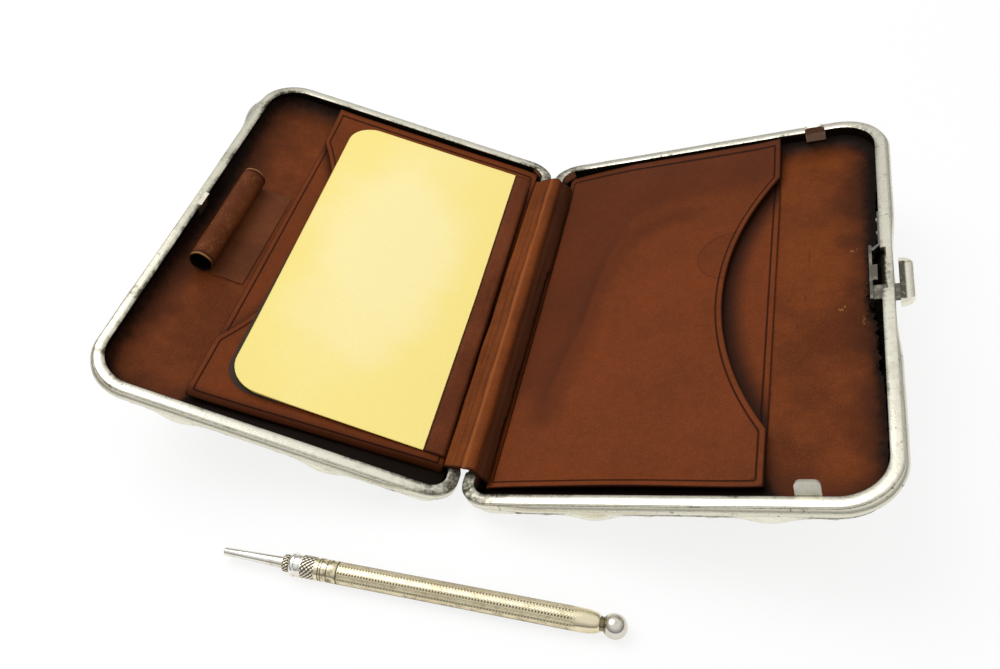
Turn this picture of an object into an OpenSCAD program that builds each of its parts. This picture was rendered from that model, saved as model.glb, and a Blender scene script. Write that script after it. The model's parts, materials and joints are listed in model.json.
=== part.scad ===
// Aide memoire case: two hinged metal halves lined with leather, each with a card pocket.
// One half carries a bound note pad and a leather pencil loop, the other the push catch.
// A separate twist pencil lies on the table in front. Millimetres, table at z = 0,
// hinge line along y above the origin, catch half towards +x.

/* [Case] */
// Length of each half along the hinge
case_length = 100; // [92:0.5:108]
// Width of each half, hinge side to catch side
case_width = 74; // [70:0.5:80]
// Plan corner radius of the halves
corner_radius = 10; // [8:0.5:12]
// Radius of the two corners beside the hinge, seen from above
hinge_corner = 5; // [4.8:0.1:7]
// Depth of one half, rim face to flat back
half_depth = 6.5; // [6:0.1:7.5]
// Thickness of the metal sheet
sheet = 0.7; // [0.5:0.05:0.9]
// Angle between the two halves at the open stop
open_angle = 146; // [140:1:152]
// Gap left between the two rims when closed
closing_gap = 0.1; // [0.06:0.02:0.2]

/* [Rim] */
// Width of the flat top of the rim
rim_width = 2.1; // [1.9:0.05:2.3]
// Height of the rim
rim_height = 2.2; // [2:0.05:2.4]
// Rounding of the rim's outer top edge
rim_edge = 0.45; // [0.3:0.05:0.6]
// Depth of the scribed line around the rim
seam_depth = 0.15; // [0.1:0.01:0.2]
// How far the rim stands proud of the shell
shell_inset = 0.15; // [0.1:0.01:0.25]
// How far the hinge side of the rim is cut down for the leather
spine_recess = 0.7; // [0.6:0.05:0.75]
// End of the case to the end of the cut down stretch
spine_end = 7; // [6.5:0.1:8]

/* [Hinge] */
// Hinge axis to the outer face of the rim
hinge_offset = 1.4; // [1.35:0.05:1.6]
// End of the case to the end of the row of knuckles
hinge_end = 10; // [9.5:0.1:14]
// Number of knuckles
knuckle_count = 5; // [5:2:9]
// Outer radius of a knuckle
knuckle_radius = 1.15; // [1.05:0.05:1.2]
// Radius of the hinge pin
pin_radius = 0.45; // [0.4:0.05:0.5]
// Running clearance of the pin
pin_clearance = 0.04; // [0.02:0.01:0.08]
// Gap between neighbouring knuckles
knuckle_gap = 0.12; // [0.1:0.02:0.3]
// Radius of the pin's riveted heads
pin_head_radius = 0.8; // [0.7:0.05:0.9]
// Thickness of the pin's riveted heads
pin_head = 0.4; // [0.3:0.05:0.6]

/* [Leather] */
// Depth of the lining below the rim
lining_depth = 4; // [3.9:0.05:4.1]
// Thickness of the lining leather
lining_thickness = 0.6; // [0.5:0.05:0.7]
// Gap around the lining and the board
lining_gap = 0.06; // [0.04:0.01:0.1]
// Thickness of a pocket's back panel
pocket_back_thickness = 0.5; // [0.4:0.05:0.6]
// Thickness of a pocket's front panel at its turned edges
pocket_front_thickness = 0.9; // [0.8:0.05:1]
// Room for cards under the front panel
card_room = 0.4; // [0.3:0.05:0.5]
// Width of the turned edge that joins front and back
pocket_border = 2; // [1.5:0.1:3]
// Gap between the pockets and the hinge side of the rim
pocket_spine_gap = 0.4; // [0.3:0.05:0.7]
// Gap between the pockets' ends and the rim
pocket_end_gap = 2.6; // [2:0.1:4]
// Open edge of the catch side pocket to the rim
right_bay = 19.1; // [17:0.1:22]
// Open edge of the pad side pocket to the rim
left_bay = 17.1; // [15:0.1:20]
// Rounding of the pockets' open corners
pocket_corner = 0.6; // [0.4:0.1:3]
// Radius of the right pocket's finger cut
scoop_radius = 65; // [60:0.5:75]
// Depth of the finger cut
scoop_depth = 9.8; // [8:0.1:11]
// Middle of the right pocket's finger cut, from the middle of the half
scoop_shift = 1.4; // [0:0.1:2]
// Radius of the left pocket's finger cut
left_scoop_radius = 59.6; // [57:0.2:66]
// Middle of the left pocket's finger cut, from the middle of the half
left_scoop_shift = 2.7; // [1:0.1:3]
// Middle of the pockets, from the middle of the halves
pocket_shift = 0.6; // [0:0.1:0.8]
// Thickness of the leather over the hinge
spine_thickness = 0.6; // [0.4:0.05:0.65]
// Gap between the knuckles and the leather over them
spine_clearance = 0.15; // [0.1:0.01:0.2]
// How far the hinge leather runs past the rims into each half
spine_overhang = 0.7; // [0.4:0.05:0.8]
// Gap at each end of the hinge leather
spine_end_gap = 0.2; // [0.1:0.02:0.4]
// How far the hinge leather wraps below the rim face, in degrees
spine_wrap = 20; // [18:1:22]

/* [Pencil loop] */
// Length of the loop
loop_length = 28.8; // [28:0.2:36]
// Loop's centre along the hinge
loop_shift = 0.5; // [0:0.1:2]
// Loop's centre to the rim
loop_inset = 6.8; // [6.2:0.1:8]
// Clearance of the pencil in the loop
loop_clearance = 0.15; // [0.1:0.01:0.25]
// Thickness of the loop leather
loop_thickness = 0.5; // [0.4:0.05:0.6]
// Thickness of the flange glued to the lining
flange_thickness = 0.3; // [0.2:0.05:0.4]
// Gap between that flange and the pocket
flange_gap = 1.5; // [1:0.1:3]

/* [Note pad] */
// Inner edge of the pocket to the bound edge of the pad
pad_setback = 0.8; // [0.6:0.05:1.2]
// Free edge of the pad to the open edge of the pocket
pad_margin = 5.4; // [4:0.1:8]
// Ends of the pad to the ends of the pocket
pad_end = 2.95; // [2.4:0.05:5]
// Pad's centre along the hinge
pad_shift = 2; // [0:0.1:2.2]
// Rounding of the pad's free corners
pad_corner = 6.5; // [4:0.1:9]
// Thickness of the pad's backing card
pad_card_thickness = 0.3; // [0.25:0.05:0.35]
// Thickness of the block of leaves
pad_leaves_thickness = 0.6; // [0.4:0.05:0.65]
// Thickness of the turning leaf
leaf_thickness = 0.12; // [0.1:0.01:0.15]
// Radius of the fold at the leaf's bound edge
leaf_fold = 0.22; // [0.18:0.01:0.24]
// Gap under and beside the leaf's fold
leaf_gap = 0.03; // [0.02:0.01:0.05]
// Thickness of the leather binding strip
binding_thickness = 0.35; // [0.3:0.01:0.36]
// Width of the leather binding strip
binding_width = 4.4; // [4:0.1:5]
// Thickness of the binding's turned down edge
binding_edge = 0.5; // [0.4:0.05:0.55]

/* [Catch] */
// Length of the thumb piece along the rim
thumb_length = 11.5; // [11.2:0.1:13]
// Thumb piece's centre along the hinge
thumb_shift = -1.1; // [-1.6:0.1:-0.4]
// Depth of the thumb plate
thumb_depth = 2.4; // [2.1:0.1:2.8]
// Thickness of the thumb plate
thumb_thickness = 1.2; // [1:0.05:1.3]
// Rounding of the thumb plate's outer corners
thumb_corner = 2; // [1:0.1:2.1]
// Radius of the hollow in the thumb plate
flute_radius = 2.2; // [2:0.1:3]
// Depth of the hollow in the thumb plate
flute_depth = 0.3; // [0.2:0.02:0.4]
// Plain end of the thumb plate beside the hollow
flute_end = 1; // [0.8:0.1:2]
// Thumb plate below the rim face
thumb_drop = 0.55; // [0.4:0.05:0.6]
// Gap between thumb plate and rim
thumb_gap = 0.8; // [0.75:0.05:1.2]
// Thickness of the sprung bar inside the rim
bar_thickness = 0.5; // [0.4:0.05:0.6]
// Length of the sprung bar
bar_length = 14.2; // [14:0.1:15]
// Bar's centre along the hinge
bar_shift = 1.5; // [1.4:0.1:1.8]
// Gap between the bar and the rim's inner face
bar_gap = 1.5; // [1.4:0.05:1.55]
// Top of the bar below the rim face
bar_drop = 0.3; // [0.25:0.05:0.35]
// Height of the bar
bar_height = 2.3; // [2:0.05:2.4]
// Width of the stem that carries the thumb plate
stem_width = 3.6; // [3:0.1:3.8]
// Thickness of the stem
stem_thickness = 0.8; // [0.6:0.05:0.85]
// Clearance of the stem in the rim's slot
stem_clearance = 0.12; // [0.08:0.01:0.15]
// Stem's centre along the hinge
stem_shift = -3.6; // [-3.9:0.1:-3.5]
// Width of the strike plate
strike_width = 4; // [3.4:0.1:4.2]
// Strike's centre along the hinge
strike_shift = 1.2; // [1:0.1:1.4]
// Thickness of the strike plate
strike_thickness = 0.5; // [0.45:0.01:0.52]
// Height of the strike above its rim
strike_height = 1.5; // [1.45:0.01:1.55]
// Thickness of the strike's lip
strike_lip = 0.5; // [0.45:0.01:0.52]
// Reach of the strike's lip
strike_reach = 0.5; // [0.45:0.01:0.52]
// Clearances in the catch
catch_clearance = 0.12; // [0.1:0.01:0.15]
// Length of the notch in the rim
notch_length = 11; // [10:0.1:11.4]
// Depth of the notch in the rim
notch_depth = 1; // [0.9:0.05:1.1]
// Notch's centre along the hinge
notch_shift = 2; // [1.8:0.1:2.2]
// Metal left under the notch
notch_floor = 0.4; // [0.3:0.05:0.45]
// Thickness of the leaf spring
spring_thickness = 0.3; // [0.2:0.02:0.34]
// Height of the leaf spring
spring_height = 1.5; // [1.3:0.05:1.6]
// Length of the spring's fixed end
spring_length = 9.6; // [9:0.1:11]
// End of the notch to the spring's fixed end
spring_margin = 1.2; // [1:0.1:1.6]
// Top of the spring below the top of the bar
spring_drop = 0.1; // [0.05:0.01:0.15]
// Length of the spring's foot on the bar
foot_length = 0.9; // [0.7:0.05:1.1]
// End of the bar to the spring's foot
foot_margin = 0.5; // [0.4:0.05:0.7]
// Radius of the rivets' shanks
rivet_radius = 0.35; // [0.3:0.01:0.4]
// Length of the rivets in the rim
rivet_length = 1; // [0.8:0.05:1.3]
// Radius of the rivets' heads
rivet_head = 0.65; // [0.55:0.01:0.7]
// Thickness of the rivets' heads
rivet_head_thickness = 0.25; // [0.2:0.01:0.35]
// Locating lugs' middle to the catch side of the rim
lug_inset = 11.8; // [10:0.1:14]
// Width of a locating lug
lug_width = 4; // [3:0.1:4.5]
// Thickness of a locating lug
lug_thickness = 0.6; // [0.5:0.02:0.7]
// Height of a locating lug above the rim
lug_height = 2.5; // [2.2:0.05:2.6]
// Lean of a locating lug's upper part towards the middle, in degrees
lug_lean = 22; // [18:1:26]
// Rounding of a locating lug's top
lug_corner = 1; // [0.6:0.05:1.4]
// Clearance of the lugs in the other rim
lug_clearance = 0.15; // [0.1:0.01:0.2]
// Foot of a lug below the rim face
lug_foot_drop = 0.3; // [0.2:0.05:0.5]

/* [Pencil] */
// Tip's place along x on the table
pencil_x = -40.1; // [-45:0.1:-35]
// Tip's place along y on the table
pencil_y = -67.05; // [-75:0.05:-62]
// Turn of the pencil on the table
pencil_turn = 0.8; // [0:0.1:5]
// Radius of the ball and the front bead
pencil_bead = 2.15; // [2.12:0.01:2.25]
// Radius of the barrel
barrel_radius = 2.1; // [2:0.01:2.11]
// Bore of the barrel
barrel_bore = 1.7; // [1.66:0.01:1.74]
// Radius of the nozzle at its tip
nozzle_tip = 0.75; // [0.68:0.01:0.85]
// Radius of the nozzle at its root
nozzle_root = 1.08; // [1:0.01:1.15]
// Length of the bare nozzle
nozzle_length = 12.1; // [11:0.1:14]
// Radius of the milled ring
ring_radius = 1.6; // [1.45:0.01:1.75]
// Length of the milled ring
ring_length = 1; // [0.8:0.05:1.2]
// Gap between milled ring and ferrule
ring_gap = 0.35; // [0.25:0.05:0.5]
// Length of the ferrule
ferrule_length = 9.35; // [9:0.05:10]
// Radius of the ferrule's front edge
ferrule_front = 1.75; // [1.6:0.05:1.9]
// Length of the ferrule's front bead and its slope
bead_length = 1.1; // [0.9:0.05:1.3]
// Radius of the grooves beside the middle bead
groove_radius = 1.95; // [1.85:0.01:2]
// Width of those grooves
groove_length = 0.3; // [0.2:0.02:0.4]
// Length of the middle bead
middle_bead = 0.7; // [0.5:0.05:0.9]
// Length of the knurled band
band_length = 2.5; // [2:0.1:3]
// Radius of the plain sleeve behind the band
sleeve_radius = 2.04; // [1.98:0.01:2.08]
// Radius of the nozzle's spigot in the ferrule
spigot_radius = 0.9; // [0.8:0.01:1]
// Length of the ferrule inside the barrel
ferrule_tail = 3.2; // [2.5:0.1:4]
// End gap between ferrule and drive tube
drive_end_gap = 0.2; // [0.15:0.05:0.4]
// Length of the barrel up to its shoulder
barrel_length = 44.4; // [42:0.1:46]
// Length of the rounded shoulder
shoulder_length = 2.6; // [2.2:0.1:3]
// Radius of the neck under the ball
neck_radius = 1.5; // [1.3:0.02:1.6]
// Shoulder to the middle of the ball
ball_reach = 2.4; // [2.2:0.05:2.6]
// Radius of the lead
lead_radius = 0.36; // [0.3:0.01:0.4]
// Running clearance inside the pencil
pencil_fit = 0.05; // [0.03:0.01:0.08]
// Length of the lead
lead_length = 36; // [32:0.5:38]
// How far the lead stops inside the tip
lead_setback = 0.5; // [0.3:0.05:0.8]
// Gap between the drive tube and the barrel
drive_gap = 0.2; // [0.12:0.01:0.3]
// Bore of the drive tube
drive_bore = 0.8; // [0.7:0.01:0.9]
// Length of the drive tube
drive_length = 26; // [22:0.5:30]
// Length of the drive tube's closed front
drive_front = 1; // [0.8:0.1:1.5]
// Length of the lead carrier
carrier_length = 10; // [8:0.5:12]
// Metal left at the closed end of the barrel
barrel_end = 1; // [0.8:0.1:1.5]
// Step from the barrel's neck to the ball's stem
neck_step = 0.1; // [0.05:0.01:0.2]

/* [Hidden] */
$fn = 64;
tilt = (180 - open_angle) / 2;
flank_radius = half_depth - rim_height;
flat_inset = shell_inset + flank_radius;
flank_run = sheet / 4;
outer_u = hinge_offset + case_width;
inner_u = outer_u - rim_width;
inner_v = case_length / 2 - rim_width;
spine_recess_length = case_length - 2 * spine_end;
spine_length = spine_recess_length - 2 * spine_end_gap;
hinge_length = case_length - 2 * hinge_end;
pocket_start = hinge_offset + rim_width + pocket_spine_gap;
pocket_length = 2 * (inner_v - pocket_end_gap);
right_pocket_edge = inner_u - right_bay;
left_pocket_edge = inner_u - left_bay;
loop_position = inner_u - loop_inset;
loop_flange = loop_position - left_pocket_edge - flange_gap;
lug_position = inner_u - lug_inset;
pad_start = pocket_start + pad_setback;
pad_edge = left_pocket_edge - pad_margin;
pad_length = pocket_length - 2 * pad_end;
binding_start = pad_start - binding_edge;
centre_u = hinge_offset + flat_inset;
centre_w = -closing_gap / 2 - rim_height;
axis_height = flank_radius - centre_u * sin(tilt) - centre_w * cos(tilt);
axis_w = closing_gap / 2;
lining_low = -lining_depth - lining_thickness;
wall_run = sqrt(pow(flank_radius - sheet, 2) - pow(-lining_low - rim_height, 2));
lining_inset = flat_inset - wall_run + lining_gap;
board_low = -half_depth + sheet;
back_top = -lining_depth + pocket_back_thickness;
front_top = back_top + pocket_front_thickness;
card_top = front_top + pad_card_thickness;
leaves_top = card_top + pad_leaves_thickness;
fold_w = leaves_top + leaf_fold + leaf_gap;
fold_u = binding_start + binding_width + leaf_fold + leaf_gap;
knuckle_pitch = hinge_length / knuckle_count;
spine_inner = knuckle_radius + spine_clearance;
spine_low = -axis_w - spine_recess;
loop_bore = pencil_bead + loop_clearance;
loop_outer = loop_bore + loop_thickness;
loop_w = -lining_depth + loop_outer;
bar_u = inner_u - bar_gap;
stem_top = -thumb_drop - (thumb_thickness - stem_thickness) / 2;
lip_top = closing_gap - strike_height + strike_lip;
tooth_low = lip_top + catch_clearance;
tooth_reach = bar_gap - strike_thickness - catch_clearance;
spring_start = notch_shift + notch_length / 2 + spring_margin;
spring_top = -bar_drop - spring_drop;
foot_end = bar_shift + bar_length / 2 - foot_margin;
rim_seam_w = -0.5 * rim_height;
ferrule_start = nozzle_length + ring_length + ring_gap;
barrel_start = ferrule_start + ferrule_length;
shoulder_start = barrel_start + barrel_length;
neck_start = shoulder_start + shoulder_length;
ball_centre = neck_start + ball_reach;
spigot_end = barrel_start + ferrule_tail + drive_end_gap;
drive_radius = barrel_bore - drive_gap;

// Placing of the two halves and of the pencil
module right_half() {
    translate([0, 0, axis_height]) rotate([0, -tilt, 0]) translate([0, 0, -axis_w]) children();
}

module left_half() {
    translate([0, 0, axis_height]) rotate([0, tilt, 0]) mirror([1, 0, 0])
        translate([0, 0, -axis_w]) children();
}

module on_pencil() {
    translate([pencil_x, pencil_y, pencil_bead]) rotate([0, 0, pencil_turn]) children();
}

// A round length of the pencil, from one station to another
module turned(from, to, r1, r2) {
    translate([from, 0, 0]) rotate([0, 90, 0]) cylinder(h = to - from, r1 = r1, r2 = r2);
}

// The outline of one half, drawn in by an inset
module outline(inset) {
    near = hinge_corner - inset;
    free = corner_radius - inset;
    reach = case_length / 2 - inset;
    x0 = hinge_offset + inset;
    x1 = outer_u - inset;
    translate([x0 + near, -reach]) square([x1 - free - x0 - near, 2 * reach]);
    translate([x0, near - reach]) square([x1 - free - x0, 2 * (reach - near)]);
    translate([x0 + near, free - reach]) square([x1 - x0 - near, 2 * (reach - free)]);
    for (s = [-1, 1]) {
        translate([x0 + near, s * (reach - near)]) circle(near);
        translate([x1 - free, s * (reach - free)]) circle(free);
    }
}

// A leather or paper sheet, square at the hinge side and rounded at the free side
module sheet_plan(x0, x1, length, r) {
    translate([x0, -length / 2]) square([x1 - x0 - r, length]);
    translate([x0, r - length / 2]) square([x1 - x0, length - 2 * r]);
    for (s = [-1, 1])
        translate([x1 - r, s * (length / 2 - r)]) intersection() {
            circle(r);
            translate([0, (s - 1) * r / 2]) square(r);
        }
}

// Carries a section, drawn inwards from the outer edge, around one half
module around() {
    reach = case_length / 2;
    free_v = reach - corner_radius;
    hinge_v = reach - hinge_corner;
    translate([outer_u, 0, 0]) rotate([90, 0, 0]) linear_extrude(2 * free_v, center = true)
        mirror([1, 0]) children();
    translate([hinge_offset, 0, 0]) rotate([90, 0, 0]) linear_extrude(2 * hinge_v, center = true)
        children();
    for (s = [0, 1]) mirror([0, s, 0]) {
        translate([hinge_offset + hinge_corner, reach, 0]) rotate([90, 0, 90])
            linear_extrude(case_width - corner_radius - hinge_corner) mirror([1, 0]) children();
        translate([outer_u - corner_radius, free_v, 0]) rotate_extrude(angle = 90)
            translate([corner_radius, 0]) mirror([1, 0]) children();
        translate([hinge_offset + hinge_corner, hinge_v, 0]) rotate([0, 0, 90])
            rotate_extrude(angle = 90) translate([hinge_corner, 0]) mirror([1, 0]) children();
    }
}

// Section of the shell's rounded flank and the start of the flat back
module flank_section() {
    translate([flat_inset, -rim_height]) intersection() {
        difference() {
            circle(flank_radius);
            circle(flank_radius - sheet);
        }
        translate([-flank_radius, -flank_radius]) square(flank_radius);
    }
    translate([flat_inset, -half_depth]) square([flank_run, sheet]);
}

// Section of the rim, with its rounded edge and scribed line
module rim_section() {
    difference() {
        union() {
            translate([0, -rim_height]) square([rim_width, rim_height - rim_edge]);
            translate([rim_edge, -rim_height]) square([rim_width - rim_edge, rim_height]);
            translate([rim_edge, -rim_edge]) circle(rim_edge);
        }
        translate([0, rim_seam_w]) circle(seam_depth);
    }
}

// One pressed shell: rounded flanks around a flat back
module half_shell() {
    around() flank_section();
    translate([0, 0, -half_depth]) linear_extrude(sheet) outline(flat_inset);
}

// One rim, cut down along the hinge for the leather
module half_rim() {
    difference() {
        around() rim_section();
        translate([hinge_offset - 1, -spine_recess_length / 2, -spine_recess])
            cube([rim_width + 2, spine_recess_length, spine_recess + 1]);
    }
}

// Stiff board glued to the flat back
module half_board() {
    translate([0, 0, board_low]) linear_extrude(lining_low - board_low)
        outline(flat_inset + lining_gap);
}

// Lining leather over the board, tucked under the rim
module half_lining() {
    translate([0, 0, lining_low]) linear_extrude(lining_thickness) outline(lining_inset);
}

// Plan of a pocket panel, its hinge side corners cut to the lining's outline
module pocket_plan(edge) {
    intersection() {
        translate([0, pocket_shift]) sheet_plan(pocket_start, edge, pocket_length, pocket_corner);
        outline(lining_inset);
    }
}

// Back panel of a pocket
module pocket_back(edge) {
    translate([0, 0, -lining_depth]) linear_extrude(pocket_back_thickness) pocket_plan(edge);
}

// Front panel of a pocket, with its finger cut and the card room under it
module pocket_front(edge, radius, shift) {
    difference() {
        translate([0, 0, back_top]) linear_extrude(pocket_front_thickness) pocket_plan(edge);
        translate([edge - scoop_depth + radius, shift, back_top - 1])
            cylinder(h = pocket_front_thickness + 2, r = radius);
        translate([pocket_start + pocket_border, pocket_shift - pocket_length / 2 + pocket_border,
            back_top - 1]) cube([edge, pocket_length - 2 * pocket_border, card_room + 1]);
    }
}

// Every second knuckle of the hinge, with the web that joins it to its rim
module knuckle_row(first) {
    for (i = [first : 2 : knuckle_count - 1])
        translate([0, -hinge_length / 2 + (i + 0.5) * knuckle_pitch, axis_w]) difference() {
            union() {
                rotate([90, 0, 0])
                    cylinder(h = knuckle_pitch - knuckle_gap, r = knuckle_radius, center = true);
                translate([0, -(knuckle_pitch - knuckle_gap) / 2, -knuckle_radius])
                    cube([hinge_offset, knuckle_pitch - knuckle_gap,
                        knuckle_radius - axis_w - spine_recess - lining_gap]);
            }
            rotate([90, 0, 0])
                cylinder(h = knuckle_pitch + 1, r = pin_radius + pin_clearance, center = true);
        }
}

// Catch half
module right_shell() {
    color("silver") right_half() half_shell();
}

module right_rim() {
    color("silver") right_half() difference() {
        half_rim();
        translate([inner_u - 1, notch_shift - notch_length / 2, -rim_height + notch_floor])
            cube([notch_depth + 1, notch_length, rim_height + 1]);
        translate([inner_u - 1, stem_shift - stem_width / 2 - stem_clearance,
            stem_top - stem_thickness - stem_clearance])
            cube([rim_width + 2, stem_width + 2 * stem_clearance,
                stem_thickness + 2 * stem_clearance]);
        rivet_places() cylinder(h = 2 * rivet_length, r = rivet_radius, center = true);
    }
}

module right_board() {
    color("tan") right_half() half_board();
}

module right_lining() {
    color("saddlebrown") right_half() half_lining();
}

module right_pocket_back() {
    color("sienna") right_half() pocket_back(right_pocket_edge);
}

module right_pocket_front() {
    color("sienna") right_half() pocket_front(right_pocket_edge, scoop_radius, scoop_shift);
}

module right_knuckles() {
    color("silver") right_half() knuckle_row(0);
}

module hinge_pin() {
    color("silver") translate([0, 0, axis_height]) rotate([90, 0, 0]) {
        cylinder(h = hinge_length + knuckle_gap, r = pin_radius, center = true);
        for (s = [0, 1]) rotate([180 * s, 0, 0])
            translate([0, 0, hinge_length / 2]) cylinder(h = pin_head, r = pin_head_radius);
    }
}

module locating_lugs() {
    face = inner_v - lug_clearance;
    color("silver") right_half() for (s = [0, 1]) mirror([0, s, 0]) translate([lug_position, face, 0]) {
        translate([-lug_width / 2, -lug_thickness, -rim_height])
            cube([lug_width, lug_thickness, rim_height]);
        rotate([90 + lug_lean, 0, 0]) linear_extrude(lug_thickness) {
            translate([-lug_width / 2, 0])
                square([lug_width, lug_height - lug_corner]);
            translate([lug_corner - lug_width / 2, 0])
                square([lug_width - 2 * lug_corner, lug_height]);
            for (k = [-1, 1])
                translate([k * (lug_width / 2 - lug_corner), lug_height - lug_corner])
                    circle(lug_corner);
        }
        translate([-lug_width / 2, -lug_thickness / 2, -rim_height])
            cube([lug_width, lug_clearance + lug_thickness / 2, rim_height - lug_foot_drop]);
    }
}

// Push catch
module thumb_piece() {
    from = outer_u + thumb_gap;
    color("silver") right_half() difference() {
        translate([0, thumb_shift, -thumb_drop - thumb_thickness]) linear_extrude(thumb_thickness)
            sheet_plan(from, from + thumb_depth, thumb_length, thumb_corner);
        translate([from + thumb_depth / 2, thumb_shift, -thumb_drop + flute_radius - flute_depth])
            rotate([90, 0, 0])
            cylinder(h = thumb_length - 2 * flute_end, r = flute_radius, center = true);
    }
}

module catch_bar() {
    color("silver") right_half() {
        translate([bar_u - bar_thickness, bar_shift - bar_length / 2, -bar_drop - bar_height])
            cube([bar_thickness, bar_length, bar_height]);
        translate([bar_u - bar_thickness / 2, stem_shift - stem_width / 2, stem_top - stem_thickness])
            cube([outer_u + thumb_gap - bar_u + bar_thickness / 2, stem_width, stem_thickness]);
        translate([bar_u - bar_thickness / 2, strike_shift - strike_width / 2, tooth_low])
            cube([tooth_reach + bar_thickness / 2, strike_width, -bar_drop - tooth_low]);
    }
}

module catch_spring() {
    color("silver") right_half() difference() {
        translate([0, 0, spring_top - spring_height]) linear_extrude(spring_height)
            polygon([[inner_u, spring_start], [inner_u, spring_start + spring_length],
                [inner_u - spring_thickness, spring_start + spring_length],
                [inner_u - spring_thickness, spring_start + spring_thickness],
                [bar_u + spring_thickness, foot_end], [bar_u, foot_end],
                [bar_u, foot_end - foot_length], [bar_u + spring_thickness, foot_end - foot_length]]);
        rivet_places() cylinder(h = 2 * rivet_length, r = rivet_radius, center = true);
    }
}

// The two rivet holes at the fixed end of the spring
module rivet_places() {
    for (k = [0.4, 0.8])
        translate([inner_u, spring_start + k * spring_length, spring_top - spring_height / 2])
            rotate([0, 90, 0]) children();
}

module catch_rivets() {
    color("silver") right_half() rivet_places() {
        translate([0, 0, -spring_thickness])
            cylinder(h = spring_thickness + rivet_length, r = rivet_radius);
        translate([0, 0, -spring_thickness - rivet_head_thickness])
            cylinder(h = rivet_head_thickness, r = rivet_head);
    }
}

// Pad half
module left_shell() {
    color("silver") left_half() half_shell();
}

module left_rim() {
    color("silver") left_half() half_rim();
}

module left_board() {
    color("tan") left_half() half_board();
}

module left_lining() {
    color("saddlebrown") left_half() half_lining();
}

module left_pocket_back() {
    color("sienna") left_half() pocket_back(left_pocket_edge);
}

module left_pocket_front() {
    color("sienna") left_half() pocket_front(left_pocket_edge, left_scoop_radius, left_scoop_shift);
}

module left_knuckles() {
    color("silver") left_half() knuckle_row(1);
}

module strike_plate() {
    color("silver") left_half() {
        translate([inner_u - strike_thickness, strike_shift - strike_width / 2, -rim_height])
            cube([strike_thickness, strike_width, rim_height + strike_height]);
        translate([inner_u - strike_thickness - strike_reach, strike_shift - strike_width / 2,
            strike_height - strike_lip])
            cube([strike_reach + strike_thickness / 2, strike_width, strike_lip]);
    }
}

module pencil_loop() {
    color("sienna") left_half() translate([loop_position, loop_shift, 0]) difference() {
        union() {
            translate([0, 0, loop_w]) rotate([90, 0, 0])
                cylinder(h = loop_length, r = loop_outer, center = true);
            translate([-loop_flange, -loop_length / 2, -lining_depth])
                cube([loop_flange + loop_bore, loop_length, flange_thickness]);
        }
        translate([0, 0, loop_w]) rotate([90, 0, 0])
            cylinder(h = loop_length + 1, r = loop_bore, center = true);
    }
}

module pad_card() {
    color("wheat") left_half() translate([0, pad_shift, front_top]) linear_extrude(pad_card_thickness)
        sheet_plan(pad_start, pad_edge, pad_length, pad_corner);
}

module pad_leaves() {
    color("ivory") left_half() translate([0, pad_shift, card_top]) linear_extrude(pad_leaves_thickness)
        sheet_plan(pad_start, pad_edge, pad_length, pad_corner);
}

module pad_binding() {
    color("sienna") left_half() translate([binding_start, pad_shift - pad_length / 2, 0]) {
        translate([0, 0, leaves_top]) cube([binding_width, pad_length, binding_thickness]);
        translate([0, 0, front_top])
            cube([binding_edge, pad_length, leaves_top - front_top + binding_thickness]);
    }
}

module top_leaf() {
    color("ivory") left_half() translate([0, pad_shift, fold_w]) {
        translate([fold_u, 0, 0]) rotate([90, 0, 0])
            cylinder(h = pad_length, r = leaf_fold, center = true);
        translate([0, 0, -leaf_thickness / 2]) linear_extrude(leaf_thickness)
            sheet_plan(fold_u, pad_edge, pad_length, pad_corner);
    }
}

// Leather over the hinge, glued to both rims
module spine_leather() {
    color("sienna") translate([0, 0, axis_height]) rotate([90, 0, 0]) {
        spine_side();
        mirror([1, 0, 0]) spine_side();
        linear_extrude(spine_length, center = true) difference() {
            circle(spine_inner + spine_thickness);
            circle(spine_inner);
            polygon([[0, 0], [9 * cos(tilt - spine_wrap), 9 * sin(tilt - spine_wrap)], [9, -9],
                [-9, -9], [-9 * cos(tilt - spine_wrap), 9 * sin(tilt - spine_wrap)]]);
        }
    }
}

// The flat side of that leather, lying on the cut down rim
module spine_side() {
    start = hinge_offset + spine_end_gap;
    linear_extrude(spine_length, center = true) rotate(tilt) translate([start, spine_low])
        square([hinge_offset + rim_width + spine_overhang - start, spine_thickness]);
}

// Twist pencil
module pencil_barrel() {
    color("silver") on_pencil() difference() {
        union() {
            turned(barrel_start, shoulder_start, barrel_radius, barrel_radius);
            turned(shoulder_start, neck_start, barrel_radius, neck_radius);
        }
        turned(barrel_start - 1, shoulder_start - barrel_end, barrel_bore, barrel_bore);
    }
}

module pencil_ferrule() {
    bore = spigot_radius + pencil_fit;
    groove = ferrule_start + bead_length;
    bead = groove + groove_length;
    band = bead + middle_bead + groove_length;
    color("silver") on_pencil() difference() {
        union() {
            turned(ferrule_start, ferrule_start + bead_length / 2, ferrule_front, pencil_bead);
            turned(ferrule_start + bead_length / 2, groove, pencil_bead, pencil_bead);
            turned(groove, band, groove_radius, groove_radius);
            turned(bead, bead + middle_bead, sleeve_radius, sleeve_radius);
            turned(band, band + band_length, barrel_radius, barrel_radius);
            turned(band + band_length, barrel_start, sleeve_radius, sleeve_radius);
            turned(barrel_start, barrel_start + ferrule_tail, barrel_bore, barrel_bore);
        }
        turned(ferrule_start - 1, spigot_end + 1, bore, bore);
    }
}

module pencil_finial() {
    stem = neck_radius - neck_step;
    color("silver") on_pencil() {
        turned(neck_start, ball_centre, stem, stem);
        translate([ball_centre, 0, 0]) sphere(pencil_bead);
    }
}

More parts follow.
